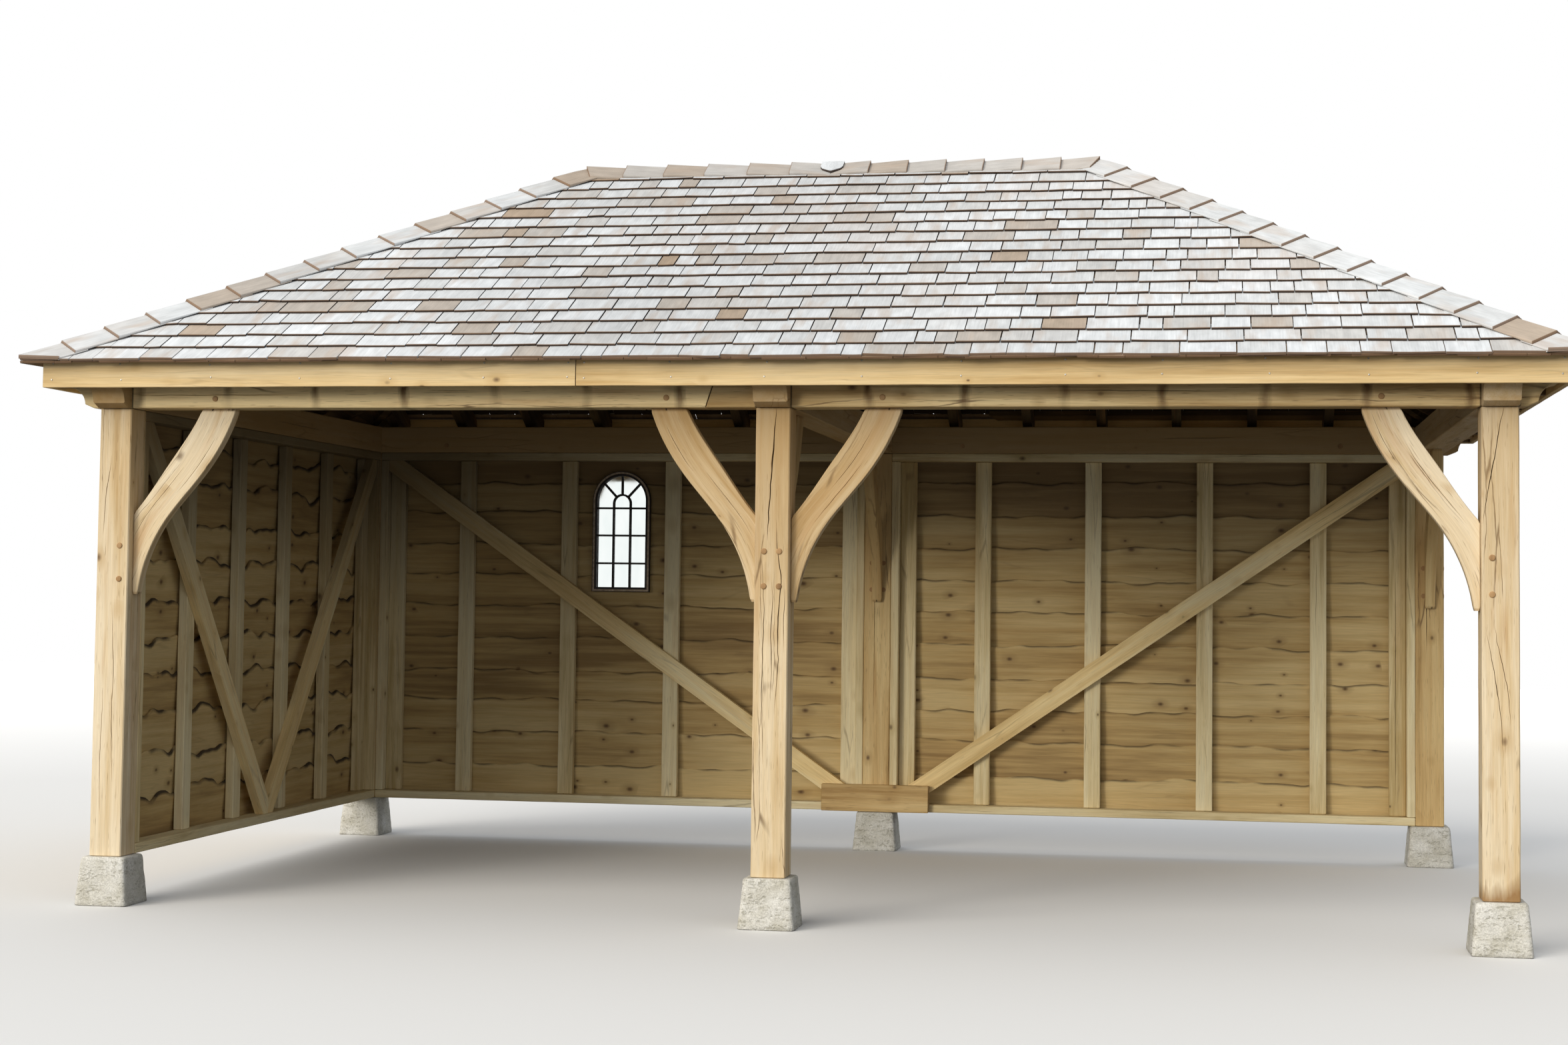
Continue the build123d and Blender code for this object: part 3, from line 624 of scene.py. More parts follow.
def timber(joined, rng, place, stations, low, high, near, far, grooves=(), ease=EASE, tone=None,
           waver=0.0007, flow=0.0, shadow=(0.0, 0.0)):
    """Add one timber: a rectangle carried along its stations, with eased arrises and drying checks.

    Its section at each station goes from low to high one way and from near to far the other. Each of
    the four faces runs from one eased corner to the other through both lips and the bottom of each
    of its checks. place(t, a, b) turns lengths along, across and through the timber into points in
    space. The grain follows the line that lies at flow across the timber. shadow darkens the first
    and the last ring with painted shade, where the timber meets another in a tight joint.
    """
    t = np.asarray(stations, float)
    eased = np.zeros_like(t)
    eased[[0, -1]] = ease
    sides = []
    for value, sign in ((low, -1), (high, 1), (near, -1), (far, 1)):
        line = np.broadcast_to(np.asarray(value, float), t.shape) - sign * waver
        sides.append(line + waves(t, rng, (1.7, 0.7, 0.31), waver) - sign * eased)
    low, high, near, far = sides
    zero = np.zeros_like(t)
    a_parts, b_parts, cracks = [], [], []
    for face, level, inward in ((0, near, 1), (1, high, -1), (2, far, -1), (3, low, 1)):
        first, last = (low, high) if face in (0, 2) else (near, far)
        run, sunk, crack = [first + ease], [zero], [zero]
        for cut in sorted((g for g in grooves if g["face"] == face), key=lambda g: g["centre"].mean()):
            half = cut["half"]
            middle = np.clip(cut["centre"], run[-1] + 1.5 * half, last - ease - 2 * half)
            run += [middle - half, middle, middle + half]
            sunk += [zero, cut["depth"], zero]
            crack += [zero, np.clip(cut["depth"] / 0.011, 0, 1), zero]
        run.append(last - ease)
        run, sunk, crack = (np.stack(part, axis=1) for part in (run, sunk + [zero], crack + [zero]))
        if face in (2, 3):
            run, sunk, crack = run[:, ::-1], sunk[:, ::-1], crack[:, ::-1]
        flat = level[:, None] + inward * sunk
        a_parts.append(run if face in (0, 2) else flat)
        b_parts.append(flat if face in (0, 2) else run)
        cracks.append(crack)
    a, b, crack = (np.concatenate(parts, axis=1) for parts in (a_parts, b_parts, cracks))
    along = np.broadcast_to(t[:, None], a.shape)
    seeds = rng.uniform(0, 50, 3)
    held = a - np.broadcast_to(flow, t.shape)[:, None]
    grain = np.stack([along, held, b], axis=-1) + seeds
    shown = np.zeros_like(a)
    shown[[0, -1]] = 1
    ends = np.stack([shown, a - ((low + high) / 2)[:, None], b - ((near + far) / 2)[:, None]], axis=-1)
    value = rng.random() if tone is None else tone
    crack[0] = np.maximum(crack[0], shadow[0])
    crack[-1] = np.maximum(crack[-1], shadow[1])
    joined.add(place(along, a, b)[None], grain[None], value, crack[None], ends[None])


def straight(origin, along, across, through):
    """Return a place function for a straight timber from its origin and its three directions."""
    origin, along, across, through = (np.array(v, float) for v in (origin, along, across, through))
    return lambda t, a, b: origin + t[..., None] * along + a[..., None] * across + b[..., None] * through


def spaced(start, end, step=0.05, ease=EASE, steps=()):
    """Return stations from start to end: even ones, a pair at each eased end and one at each step."""
    inner = np.linspace(start + ease, end - ease, max(2, int(round((end - start) / step)) + 1))
    return np.sort(np.concatenate([[start], inner, [end], np.array(steps, float)]))


def block_piece(node, boxes, axis, skin, ease, shadow=(0.0, 0.0)):
    """Place level timbers that fill boxes of x, y and z ranges, with their grain along one axis."""
    rng = seeded(node)
    joined = Joined()
    across, other = {"x": (2, 1), "y": (2, 0)}[axis]
    run = "xyz".index(axis)
    eye = np.eye(3)
    for box in boxes:
        stations = spaced(*box[run], 0.05, ease)
        timber(joined, rng, straight(ORIGIN, eye[run], eye[across], eye[other]), stations, *box[across],
               *box[other], ease=ease, shadow=shadow)
    place_piece(f"{node}_oak", joined.mesh(node), finish(skin), [node])


def post_piece(name, x, y):
    """Return a post: a square section carried up from its stone, with the checks as read."""
    rng = seeded(name)
    joined = Joined()
    stations = spaced(PAD_HEIGHT, PLATE_FOOT, 0.03)
    sides = x - POST / 2, x + POST / 2, y - POST / 2, y + POST / 2
    own = [groove(stations, 0, [(z, x + across) for z, across in path], width, width * 3, rng, 0.0015)
           for width, path in CHECKS.get(name, ())]
    spare = random_grooves(stations, rng, *sides, 7, 0.0032, (1, 2, 3) if own else range(4))
    timber(joined, rng, straight(ORIGIN, WAYS["z"], WAYS["x"], WAYS["y"]), stations, *sides, own + spare,
           0.0045, TONES[name], shadow=(0.0, 0.6))
    return joined.mesh(name)


def cove(s, half):
    """Return the height of a plate's underside at a distance s from its middle.

    It is level until it is past the posts, steps up by the lip, and then follows a quarter circle
    whose centre is below the plate's end.
    """
    across = np.clip(half + NOSE - s, 0, COVE_RADIUS)
    arc = PLATE_FOOT + COVE_LIP + np.sqrt(COVE_RADIUS ** 2 - across ** 2)
    return np.where(s <= half + COVE_START + 1e-6, PLATE_FOOT, arc)


def plate_piece(name, axis, centre, half, start, end, notches, notch_top, lapped=None):
    """Return a plate with coved ends, halved where others cross it and lapped at the scarf.

    Its rectangle runs from the cove's height up to the top, but inside a notch only to the middle.
    Past the scarf's cut its lapped half, near or far, is left out. Stations on both sides of each
    notch, cove and cut make the steps, and at the scarf they lean by its lean over the plate's height.
    """
    rng = seeded(name)
    joined = Joined()
    cut = {"near": SCARF, "far": SCARF - SCARF_LENGTH, None: None}[lapped]
    steps = [n + side * POST / 2 + edge for n in notches for side in (-1, 1) for edge in (-STEP, STEP)]
    for sign in (-1, 1):
        steps += [sign * (half + COVE_START + edge) for edge in (STEP, 3 * STEP)]
        steps += [sign * (half + NOSE - COVE_RADIUS * math.cos(a)) for a in np.linspace(0.18, 1.5, 9)]
    if lapped:
        steps += [cut - STEP, cut + STEP]
        start, end = (start + SCARF_GAP, end) if lapped == "near" else (start, end - SCARF_GAP)
    steps = [s for s in steps if start + 0.004 < s < end - 0.004]
    stations = spaced(start, end, 0.06, EASE, steps)
    low = cove(np.abs(stations), half)
    high = np.full_like(stations, PLATE_TOP)
    inside = np.min([np.abs(stations - n) for n in notches], axis=0) < POST / 2
    middle = (PLATE_FOOT + PLATE_TOP) / 2
    if notch_top:
        high = np.where(inside, middle, high)
    else:
        low = np.where(inside, middle, low)
    near, far = np.full_like(stations, centre - POST / 2), np.full_like(stations, centre + POST / 2)
    if lapped == "far":
        far = np.where(stations > cut, centre, far)
    if lapped == "near":
        near = np.where(stations < cut, centre, near)
    grooves = random_grooves(stations, rng, PLATE_FOOT + 0.02, PLATE_TOP - 0.02, centre - 0.05, centre + 0.05,
                             4, faces=(0,) if lapped else (0, 2))
    level = straight(ORIGIN, WAYS[axis], WAYS["z"], WAYS["y" if axis == "x" else "x"])

    def place(t, a, b):
        lean = 0.0
        if lapped:
            for middle_cut in (SCARF, SCARF - SCARF_LENGTH):
                lean = lean + np.clip(1 - np.abs(t - middle_cut) / 0.06, 0, 1)
        return level(t + lean * SCARF_LEAN * ((a - PLATE_FOOT) / POST - 0.5), a, b)

    shadow = (0.0, 0.7) if lapped == "far" else (0.0, 0.0)
    timber(joined, rng, place, stations, low, high, near, far, grooves, 0.004, TONES[name], shadow=shadow)
    return joined.mesh(name)


def smooth_curve(points, first, last, count):
    """Return points on the cubic through some points with given end directions, evenly spaced.

    Each stretch is a Hermite cubic over its chord's length, and the directions at the inner points
    make the curve's bend continuous.
    """
    p = np.array(points, float)
    n = len(p)
    u = np.r_[0, np.cumsum(np.linalg.norm(np.diff(p, axis=0), axis=1))]
    h = np.diff(u)
    matrix, right = np.eye(n), np.zeros((n, 2))
    right[0], right[-1] = unit(first), unit(last)
    for i in range(1, n - 1):
        matrix[i, i - 1:i + 2] = 1 / h[i - 1], 2 / h[i - 1] + 2 / h[i], 1 / h[i]
        right[i] = 3 * ((p[i] - p[i - 1]) / h[i - 1] ** 2 + (p[i + 1] - p[i]) / h[i] ** 2)
    d = np.linalg.solve(matrix, right)
    t = np.linspace(0, u[-1], 200)
    i = np.clip(np.searchsorted(u, t, side="right") - 1, 0, n - 2)
    s = ((t - u[i]) / h[i])[:, None]
    k = h[i][:, None]
    curve = ((1 + 2 * s) * (1 - s) ** 2 * p[i] + s * (1 - s) ** 2 * k * d[i]
             + s ** 2 * (3 - 2 * s) * p[i + 1] - s ** 2 * (1 - s) * k * d[i + 1])
    return even(curve, count)


def even(curve, count):
    """Return count points at even distances along a run of points."""
    far = np.r_[0, np.cumsum(np.linalg.norm(np.diff(curve, axis=0), axis=1))]
    goal = np.linspace(0, far[-1], count)
    return np.stack([np.interp(goal, far, curve[:, k]) for k in range(2)], axis=1)


def brace(joined, rng, corner, out, through, tone):
    """Add an ogee brace under a plate: a rectangle carried between an upper and a lower curve.

    corner is where the post's face meets the plate's underside, out points away from the post. The
    upper curve is the cubic from the plate to the neck and then the post's face; the lower curve is
    the cubic from the plate to the toe.
    """
    count = 48
    upper = smooth_curve([(BRACE_NEAR, 0), (0.53 * BRACE_NEAR, -0.51 * BRACE_NECK), (0, -BRACE_NECK)],
                         (-0.42, -1), (-0.9, -1), 120)
    upper = even(np.concatenate([upper, [[0, -BRACE_DROP]]]), count)
    lower = smooth_curve([(BRACE_TOE, -BRACE_DROP), (0.29 * BRACE_FAR, -0.625 * BRACE_DROP),
                          (0.66 * BRACE_FAR, -0.36 * BRACE_DROP), (BRACE_FAR, 0)], (0.12, 1), (0.3, 1), count)
    lower = lower[::-1]
    upper[0], lower[0] = (BRACE_NEAR, 0), (BRACE_FAR, 0)
    gap = np.linalg.norm(lower - upper, axis=1)
    line = unit(lower - upper)
    middle = (upper + lower) / 2
    t = np.r_[0, np.cumsum(np.linalg.norm(np.diff(middle, axis=0), axis=1))]
    grooves = []
    for face, least, most in ((0, 0.030, 0.055), (0, 0.085, 0.115), (2, 0.03, 0.07), (2, 0.085, 0.115)):
        start, run = rng.uniform(0.02, 0.35), rng.uniform(0.2, 0.5)
        path = [(start, 0.0), (start + run, rng.uniform(-0.008, 0.008))]
        one = groove(t, face, path, 0.0022, 0.0055, rng, 0.001)
        one["centre"] = gap - rng.uniform(least, most) + one["centre"]
        grooves.append(one)
    corner, out, through = (np.array(v, float) for v in (corner, out, through))

    def place(along, a, b):
        flat = upper[:, None, :] + a[..., None] * line[:, None, :]
        return corner + flat[..., :1] * out + flat[..., 1:] * UP + b[..., None] * through

    timber(joined, rng, place, t, np.zeros(count), gap, -BRACE_HALF, BRACE_HALF, grooves, 0.003, tone,
           waver=0.0004, flow=gap)


def wall_frame(wall):
    """Return a panel's rim of four timbers and its six studs."""
    rng = seeded(wall)
    joined = Joined()
    half, origin, along, out = WALLS[wall]
    low, high, rim = PAD_HEIGHT + RIM, PLATE_FOOT - RIM, half - RIM
    level = straight(origin, along, UP, out)
    upright = straight(origin, UP, along, out)
    for z0, z1 in ((PAD_HEIGHT, low), (high, PLATE_FOOT)):
        timber(joined, rng, level, spaced(-half, half, 0.08), z0, z1, 0.0, RIM_DEPTH)
    stations = spaced(low, high, 0.06)
    for x0, x1 in ((-half, -rim), (rim, half)):
        timber(joined, rng, upright, stations, x0, x1, 0.0, RIM_DEPTH)
    for x in (STUD_HALF - rim, *((i - 1.5) * STUD_GAUGE for i in range(4)), rim - STUD_HALF):
        sides = x - STUD_HALF, x + STUD_HALF, STUD_FACE, RIM_DEPTH
        grooves = random_grooves(stations, rng, *sides, 1, 0.0022, (0, 1))
        timber(joined, rng, upright, stations, *sides, grooves, 0.003)
    return joined.mesh(wall)


def panel_brace(name, wall, x0, x1):
    """Return a flat brace from x0 at the panel's head to x1 at its foot, cut upright and level.

    At a distance s from an end, the cuts hold the brace's edges between minus s times the slope of
    one cut and plus s times the slope of the other.
    """
    rng = seeded(name)
    joined = Joined()
    _, origin, along, out = WALLS[wall]
    z0, z1 = PLATE_FOOT - RIM, PAD_HEIGHT + RIM
    run = math.hypot(x1 - x0, z1 - z0)
    ux, uz = (x1 - x0) / run, (z1 - z0) / run
    steep, shallow = abs(ux / uz), abs(uz / ux)
    side = PANEL_BRACE_HALF
    t = spaced(0.0015, run - 0.0015, 0.06, 0.001,
               [side / steep, side / shallow, run - side / steep, run - side / shallow])
    one = np.minimum(side, np.minimum(steep * t, shallow * (run - t)))
    other = np.minimum(side, np.minimum(shallow * t, steep * (run - t)))
    low, high = (-one, other) if ux > 0 else (-other, one)
    grooves = random_grooves(t, rng, -0.04, 0.04, PANEL_BRACE_FACE, STUD_FACE, 1, 0.0025, (0, 2))
    along = np.array(along, float)
    place = straight(np.array(origin, float) + x0 * along + z0 * UP, ux * along + uz * UP,
                     -uz * along + ux * UP, out)
    timber(joined, rng, place, t, low, high, PANEL_BRACE_FACE, STUD_FACE, grooves, 0.0008, waver=0.0002)
    return joined.mesh(name)


# Stones, pegs and nails
def pitted(points, rng, lengths, size):
    """Return a bumpy value at each point: the mean of sines along random directions."""
    total = np.zeros(points.shape[:-1])
    for length in lengths:
        for _ in range(3):
            direction = unit(rng.normal(size=3))
            total += np.sin(points @ direction * 2 * math.pi / length + rng.uniform(0, 6.3)) / len(lengths)
    return size * total / 3


def padstones():
    """Return the six stones: a rounded square carried up from the base, tapered and pitted.

    The outline at a turn a is the square's reach divided by the 14-norm of (cos a, sin a), which
    rounds the corners. Its rings close over the base and over the ledge under the post.
    """
    rng = seeded("padstones")
    joined = Joined()
    power = 14
    turn = np.linspace(0, 2 * math.pi, 96, endpoint=False) + math.pi / 96
    circle = np.stack([np.cos(turn), np.sin(turn)], axis=-1)
    shape = (np.abs(circle) ** power).sum(axis=-1) ** (-1 / power)
    heights = np.r_[0.0, 0.004, np.linspace(0.02, 0.200, 13), 0.209, 0.2135, 0.2145, 0.2145]
    ease = np.r_[0.004, 0.0, np.zeros(13), 0.0015, 0.006, 0.012, 0.030]
    half = (PAD_HALF - PAD_TAPER * heights / PAD_HEIGHT - ease)[:, None] * shape
    upright = np.broadcast_to(heights[:, None, None], (*half.shape, 1))
    for x in (-AXIS_X, 0, AXIS_X):
        for y in (-AXIS_Y, AXIS_Y):
            flat = np.concatenate([half[..., None] * circle, upright], axis=-1)
            push = pitted(flat, rng, (0.07, 0.035, 0.019, 0.011), 0.0035) - 0.0022
            push = np.minimum(push, 0) * np.where(heights[:, None] > 0.214, 0.3, 1.0)
            flat[..., :2] *= 1 + (push / np.maximum(half, 0.01))[..., None]
            joined.add((flat + np.array([x, y, 0]))[None], flat[None] + rng.uniform(0, 9, 3), rng.random())
    return joined.mesh("padstones_cast", 50.0)


def discs(joined, rng, centres, outward, radius, proud, sides):
    """Add round heads: a circle carried out of a face and drawn in at its rim."""
    centres, outward = np.array(centres, float), np.array(outward, float)
    first = np.cross(outward, UP)
    second = np.cross(outward, first)
    turn = np.linspace(0, 2 * math.pi, sides, endpoint=False)
    circle = np.cos(turn)[:, None] * first + np.sin(turn)[:, None] * second
    rings = np.stack([centres[:, None, :] + circle * radius * size + outward * out for out, size in (
        (-0.004, 1.0), (proud * 0.45, 1.0), (proud * 0.85, 0.9), (proud, 0.62))], axis=1)
    tone = rng.uniform(0, 1, (len(centres), 1, 1))
    grain = (rings - centres[:, None, None])[..., [2, 0, 1]] + tone[..., None] * 30
    joined.add(rings, grain, tone)


def pegs():
    """Return the oak pegs of the braces' and plates' joints, 26 mm across and cut nearly flush."""
    rng = seeded("pegs")
    joined = Joined()
    peg = {"radius": 0.013, "proud": 0.0035, "sides": 14}
    inset, reach_out = 0.042, 0.395
    post_heights, plate_height = (1.599, 1.450), 2.257

    def places(faces):
        """Return a joint's pegs: two in the post behind its face and one in the plate over the brace."""
        found = []
        for face, sign in faces:
            found += [(face + sign * inset, height) for height in post_heights]
            found.append((face - sign * reach_out, plate_height))
        return found

    front = places(((-INNER_X, -1), (-POST / 2, 1), (POST / 2, -1), (INNER_X, 1)))
    discs(joined, rng, [(x, -HALF_Y, z) for x, z in front], (0, -1, 0), **peg)
    discs(joined, rng, [(x, INNER_Y, z) for x, z in front], (0, 1, 0), **peg)
    side = places(((-INNER_Y, -1), (INNER_Y, 1)))
    for x, out in ((0.0, -1), (0.0, 1), (AXIS_X, 1)):
        discs(joined, rng, [(x + out * POST / 2, y, z) for y, z in side], (out, 0, 0), **peg)
    return joined.mesh("oak_pegs", 60.0)


def nails():
    """Return the nails' heads, 8 mm across, in pairs 65 mm apart along the fascias."""
    rng = seeded("nails")
    joined = Joined()
    nail = {"radius": 0.0042, "proud": 0.0012, "sides": 10}
    heights = 2.330, 2.395
    along = (-3.221, -2.894, -2.472, -2.060, -1.648, -1.233, -0.862, -0.786, -0.412, 0.0, 0.412, 0.824, 1.253,
             1.648, 2.065, 2.471, 2.899, 3.221)
    across = (-1.64, -1.236, -0.824, -0.412, 0, 0.412, 0.824, 1.236, 1.64)
    pairs = [(x + rng.normal(0, 0.004), z + rng.normal(0, 0.003)) for x in along for z in heights]
    for sign in (-1, 1):
        discs(joined, rng, [(x, sign * FASCIA_Y, z) for x, z in pairs], (0, sign, 0), **nail)
        discs(joined, rng, [(sign * FASCIA_X, y, z) for y in across for z in heights], (sign, 0, 0), **nail)
    return joined.mesh("fascia_nails", 60.0)


# Roof
class Slope:
    """One roof slope: its eave's middle, the eave's, slope's and normal directions, and its sizes."""

    def __init__(self, side):
        run, fall, self.half, self.top = EAVE_Y, MAIN_FALL, EAVE_X, RIDGE_HALF
        if side in ("left", "right"):
            run, fall, self.half, self.top = END_RUN, END_FALL, EAVE_Y, 0.0
        x, y = {"front": (0, -1), "back": (0, 1), "right": (1, 0), "left": (-1, 0)}[side]
        self.origin = np.array([x * EAVE_X, y * EAVE_Y, EAVE_HEIGHT])
        self.along = np.array([-y, x, 0.0])
        self.up = unit([-x, -y, fall])
        self.normal = unit([x * fall, y * fall, 1.0])
        self.length = math.hypot(run, run * fall)

    def edge(self, s):
        """Return the hip's distance from the slope's middle, s up the slope."""
        return self.half + (self.top - self.half) * s / self.length

    def points(self, u, s, h, plumb=False):
        """Return points u along the eave, s up the slope and h above its plane, square or plumb."""
        rise = UP if plumb else self.normal
        return self.origin + u[..., None] * self.along + s[..., None] * self.up + h[..., None] * rise


def joints(rng, half, before, settings):
    """Return random joints across a course that keep 30 mm clear of the joints of the one below.

    No shingle at the hip is less than 55 mm wide.
    """
    cuts = [-half]
    while cuts[-1] < half:
        place = cuts[-1] + rng.uniform(settings.narrowest, settings.widest)
        close = before[np.abs(before - place) < 0.028]
        cuts.append(close[0] + 0.030 if len(close) else place)
    return np.array([c for c in cuts[:-1] if c < half - 0.055] + [half])


def lay(joined, slope, rows, seeds, tone, under, plumb=False, drift=0.0, worn=0.0):
    """Add thin slabs to a slope from rows of points at their feet, their middles and their heads.

    A row holds u and s, where the points lie on the slope, the heights of the slab's top and underside
    above its plane, and the grain's values along and across. seeds move each slab's grain across, and
    drift times as far through. worn moves it along, and under sets how dark the underside is painted,
    as painted shade.
    """
    rings, grain = [], []
    for u, s, top, low, along, across in rows:
        top, low = (slope.points(u, s, np.broadcast_to(h, u.shape), plumb) for h in (top, low))
        rings.append(np.concatenate([top, low[:, ::-1]], axis=1))
        flat = np.stack(np.broadcast_arrays(along, across, 0.0), axis=-1)
        grain.append(np.concatenate([flat, flat[:, ::-1]], axis=1))
    rings, grain = np.stack(rings, axis=1), np.stack(grain, axis=1)
    grain[..., 0] += worn
    grain[..., 1] += seeds
    grain[..., 2] += seeds * drift
    points = rings.shape[2]
    joined.add(rings, grain, tone[:, None, None], (np.arange(points) >= points // 2) * under)


def slabs(joined, slope, rng, cuts, s0, s1, top0, top1, low0, low1, tone, cells, gap):
    """Add one course of thin slabs to a slope.

    Each slab is carried from s0 up to s1. Its top goes from top0 to top1 above the slope's plane and
    its underside from low0 to low1. Points past the hip are brought back to it, which cuts the slabs
    to the hip's mitre.
    """
    left, width = cuts[:-1, None], np.diff(cuts)[:, None]
    n = len(left)
    across = np.linspace(0, 1, cells + 1)
    gaps = rng.uniform(0.45, 1.0, (n, 1)) * gap / 2
    skew = rng.normal(0, 0.0022, (n, 1))
    butt = np.maximum(s0 + rng.uniform(0, 0.011, (n, 1)) + skew * (across - 0.5) * 2, s0)
    cup = rng.uniform(-0.0012, 0.0004, (n, 1)) * (1 - (2 * across - 1) ** 2)
    rows = []
    for step in ROWS:
        s = butt + (s1 - butt) * step
        limit = slope.edge(s) - 0.0015
        u = np.clip(left + gaps + (width - 2 * gaps) * across, -limit, limit)
        top = top0 + (top1 - top0) * step + cup * (1 - step)
        rows.append((u, s, top, low0 + (low1 - low0) * step, s - butt, u))
    # Undersides are painted dark as painted shade, the eave course's only a little so that its edge stays
    # brown
    lay(joined, slope, rows, rng.uniform(0, 40, (n, 1, 1)), tone, 0.16 if s0 == 0 else 1.0, drift=1.7)


def course_tones(rng, count):
    """Return tones: most shingles white or silver, some pinkish, a few tan."""
    tone = rng.beta(1.1, 2.6, count) * 0.62
    tan = rng.random(count)
    tone = np.where(tan < 0.085, rng.uniform(0.43, 0.58, count), tone)
    return np.where(tan < 0.012, rng.uniform(0.64, 0.73, count), tone)


def shingled_slope(side, settings):
    """Return the mesh of one slope: courses of tapered shingles over a row of their hidden heads.

    Course k starts k gauges up the slope. Its shingles have butts of random thickness, whose top
    is at the CAD plane, and fall by one butt's thickness to the next course.
    """
    slope = Slope(side)
    rng = seeded(side)
    joined = Joined()
    gauge = settings.gauge * slope.length / Slope("front").length
    cuts = np.array([])
    for k in range(int(slope.length / gauge - 0.05) + 1):
        s0 = k * gauge
        half = slope.edge(s0) - 0.002
        if half < 0.05:
            break
        cuts = joints(rng, half, cuts, settings)
        n = len(cuts) - 1
        depth = np.clip(rng.normal(settings.butt, 0.0018, (n, 1)), 0.008, 0.0140)
        lift = rng.uniform(-0.0022, 0.0, (n, 1))
        s1 = min(s0 + 1.6 * gauge, slope.length - 0.002)
        fall = settings.butt * (s1 - s0) / gauge
        slabs(joined, slope, rng, cuts, s0, s1, lift, -fall, lift - depth, -fall - 0.0025,
              course_tones(rng, n), 3, 0.0075)
        # Above the eave course the hidden heads are dark brown to near black, as painted shade in the joints
        # and under the roof
        heads = joints(rng, half, np.array([]), settings)
        s1 = min(s0 + gauge, slope.length - 0.002)
        high = -settings.butt - 0.0005 if k == 0 else -0.0180
        slabs(joined, slope, rng, heads, s0, s1, high, -0.0185, -0.0208, -0.0208,
              rng.uniform(0.78, 0.86, len(heads) - 1) + (0.09 if k else 0.0), 1, 0.003)
    return joined.mesh(f"{side}_shingles")


def cap_leaves(joined, side, sign, gauge):
    """Add the leaves of one slope along one hip, each lapped over the one below it.

    A leaf is a thin slab: p runs up the hip and w square to it into the slope. Its top starts one
    cap's rise above the slope's plane and falls to the next butt. The lowest one has a second leaf
    under it. All are cut to the eave, and points past the middle plane are brought back to it.
    """
    slope = Slope(side)
    rng = seeded(f"cap {side} {sign}")
    corner = np.array([sign * slope.half, 0.0])
    rise = np.array([sign * slope.top, slope.length]) - corner
    length = np.linalg.norm(rise)
    run = unit(rise)
    inward = np.array([-sign * run[1], sign * run[0]])
    butt, thin = 0.0125, 0.0025
    starts = np.arange(0, length - 0.09, gauge)[:, None]
    across = np.linspace(0, 1, 4)
    for p0, reach_up, drop, depth in ((starts[:1], gauge, butt + 0.0004, 0.0042),
                                      (starts, 1.3 * gauge, 0.0, butt - 0.0006)):
        n = len(p0)
        first = CAP_RISE - (drop or rng.uniform(0, 0.0015, (n, 1)))
        last = 0.001 if drop else CAP_RISE - butt * 1.3
        skew = rng.normal(0, 0.002, (n, 1))
        w = (CAP_WIDTH / 0.93 - rng.uniform(0, 0.006, (n, 1))) * across
        least = np.maximum(-w * inward[1] / run[1], 0.0) + 0.0008
        rows = []
        for step in ROWS:
            p = p0 + reach_up * step + skew * across * (1 - step)
            p = np.minimum(np.maximum(p, least), length - 0.001)
            flat = corner + p[..., None] * run + w[..., None] * inward
            u, s = flat[..., 0], flat[..., 1]
            limit = slope.edge(s) - 0.0002
            u = np.clip(u, -limit, limit)
            if slope.top == 0:
                u = sign * np.maximum(sign * u, CAP_PARTING + 0.0005)
            top = first + (last - first) * step - CAP_TILT * across
            low = top - depth - (thin - depth) * step
            rows.append((u, s, top, low, (p - p0) * (step > 0), w))
        seeds = rng.uniform(0, 40, (n, 1, 1))
        lay(joined, slope, rows, seeds, 0.15 + rng.beta(1.2, 2.0, n) * 0.55, 0.20, plumb=True, worn=0.0008)


def hip_capping(settings):
    """Return the mesh of the caps over the four hips."""
    joined = Joined()
    for side in SIDES:
        for sign in (-1, 1):
            cap_leaves(joined, side, sign, settings.cap_gauge)
    return joined.mesh("hip_capping")


def ridge_capping(settings):
    """Return the mesh of the ridge's caps, laid from both ends with their butts outwards."""
    joined = Joined()
    hip = math.hypot(END_RUN, EAVE_Y)
    mitre = RIDGE_WIDTH * (hip - END_RUN) / EAVE_Y
    butt, thin = 0.0150, 0.0025
    across = np.linspace(0, 1, 4)
    w = RIDGE_WIDTH / math.cos(PITCH) * across
    for side in ("front", "back"):
        slope = Slope(side)
        rng = seeded(f"ridge {side}")
        for sign in (-1, 1):
            total = abs(sign * RIDGE_HALF - RIDGE_MIDDLE)
            count = int(round(total / settings.ridge_gauge))
            gauge = total / count
            p0 = np.arange(count)[:, None] * gauge
            lift = rng.uniform(-0.0015, 0, (count, 1))
            skew = rng.normal(0, 0.002, (count, 1))
            rows = []
            for step in ROWS:
                p = p0 + 1.25 * gauge * step + skew * across * (1 - step)
                p = np.minimum(np.maximum(p, mitre * across + 0.0005), total - 0.001)
                u = sign * (RIDGE_HALF - p) * slope.along[0]
                top = CAP_RISE + lift * (1 - step) - butt * 1.25 * step - CAP_TILT * across
                low = top - butt - (thin - butt) * step
                rows.append((u, slope.length - w, top, low, (p - p0) * (step > 0), w))
            seeds = rng.uniform(0, 40, (count, 1, 1))
            lay(joined, slope, rows, seeds, rng.uniform(0.40, 0.62, count), 0.22, plumb=True, worn=0.0006)
    for side in ("front", "back"):
        closing_leaf(joined, Slope(side))
    return joined.mesh("ridge_capping")


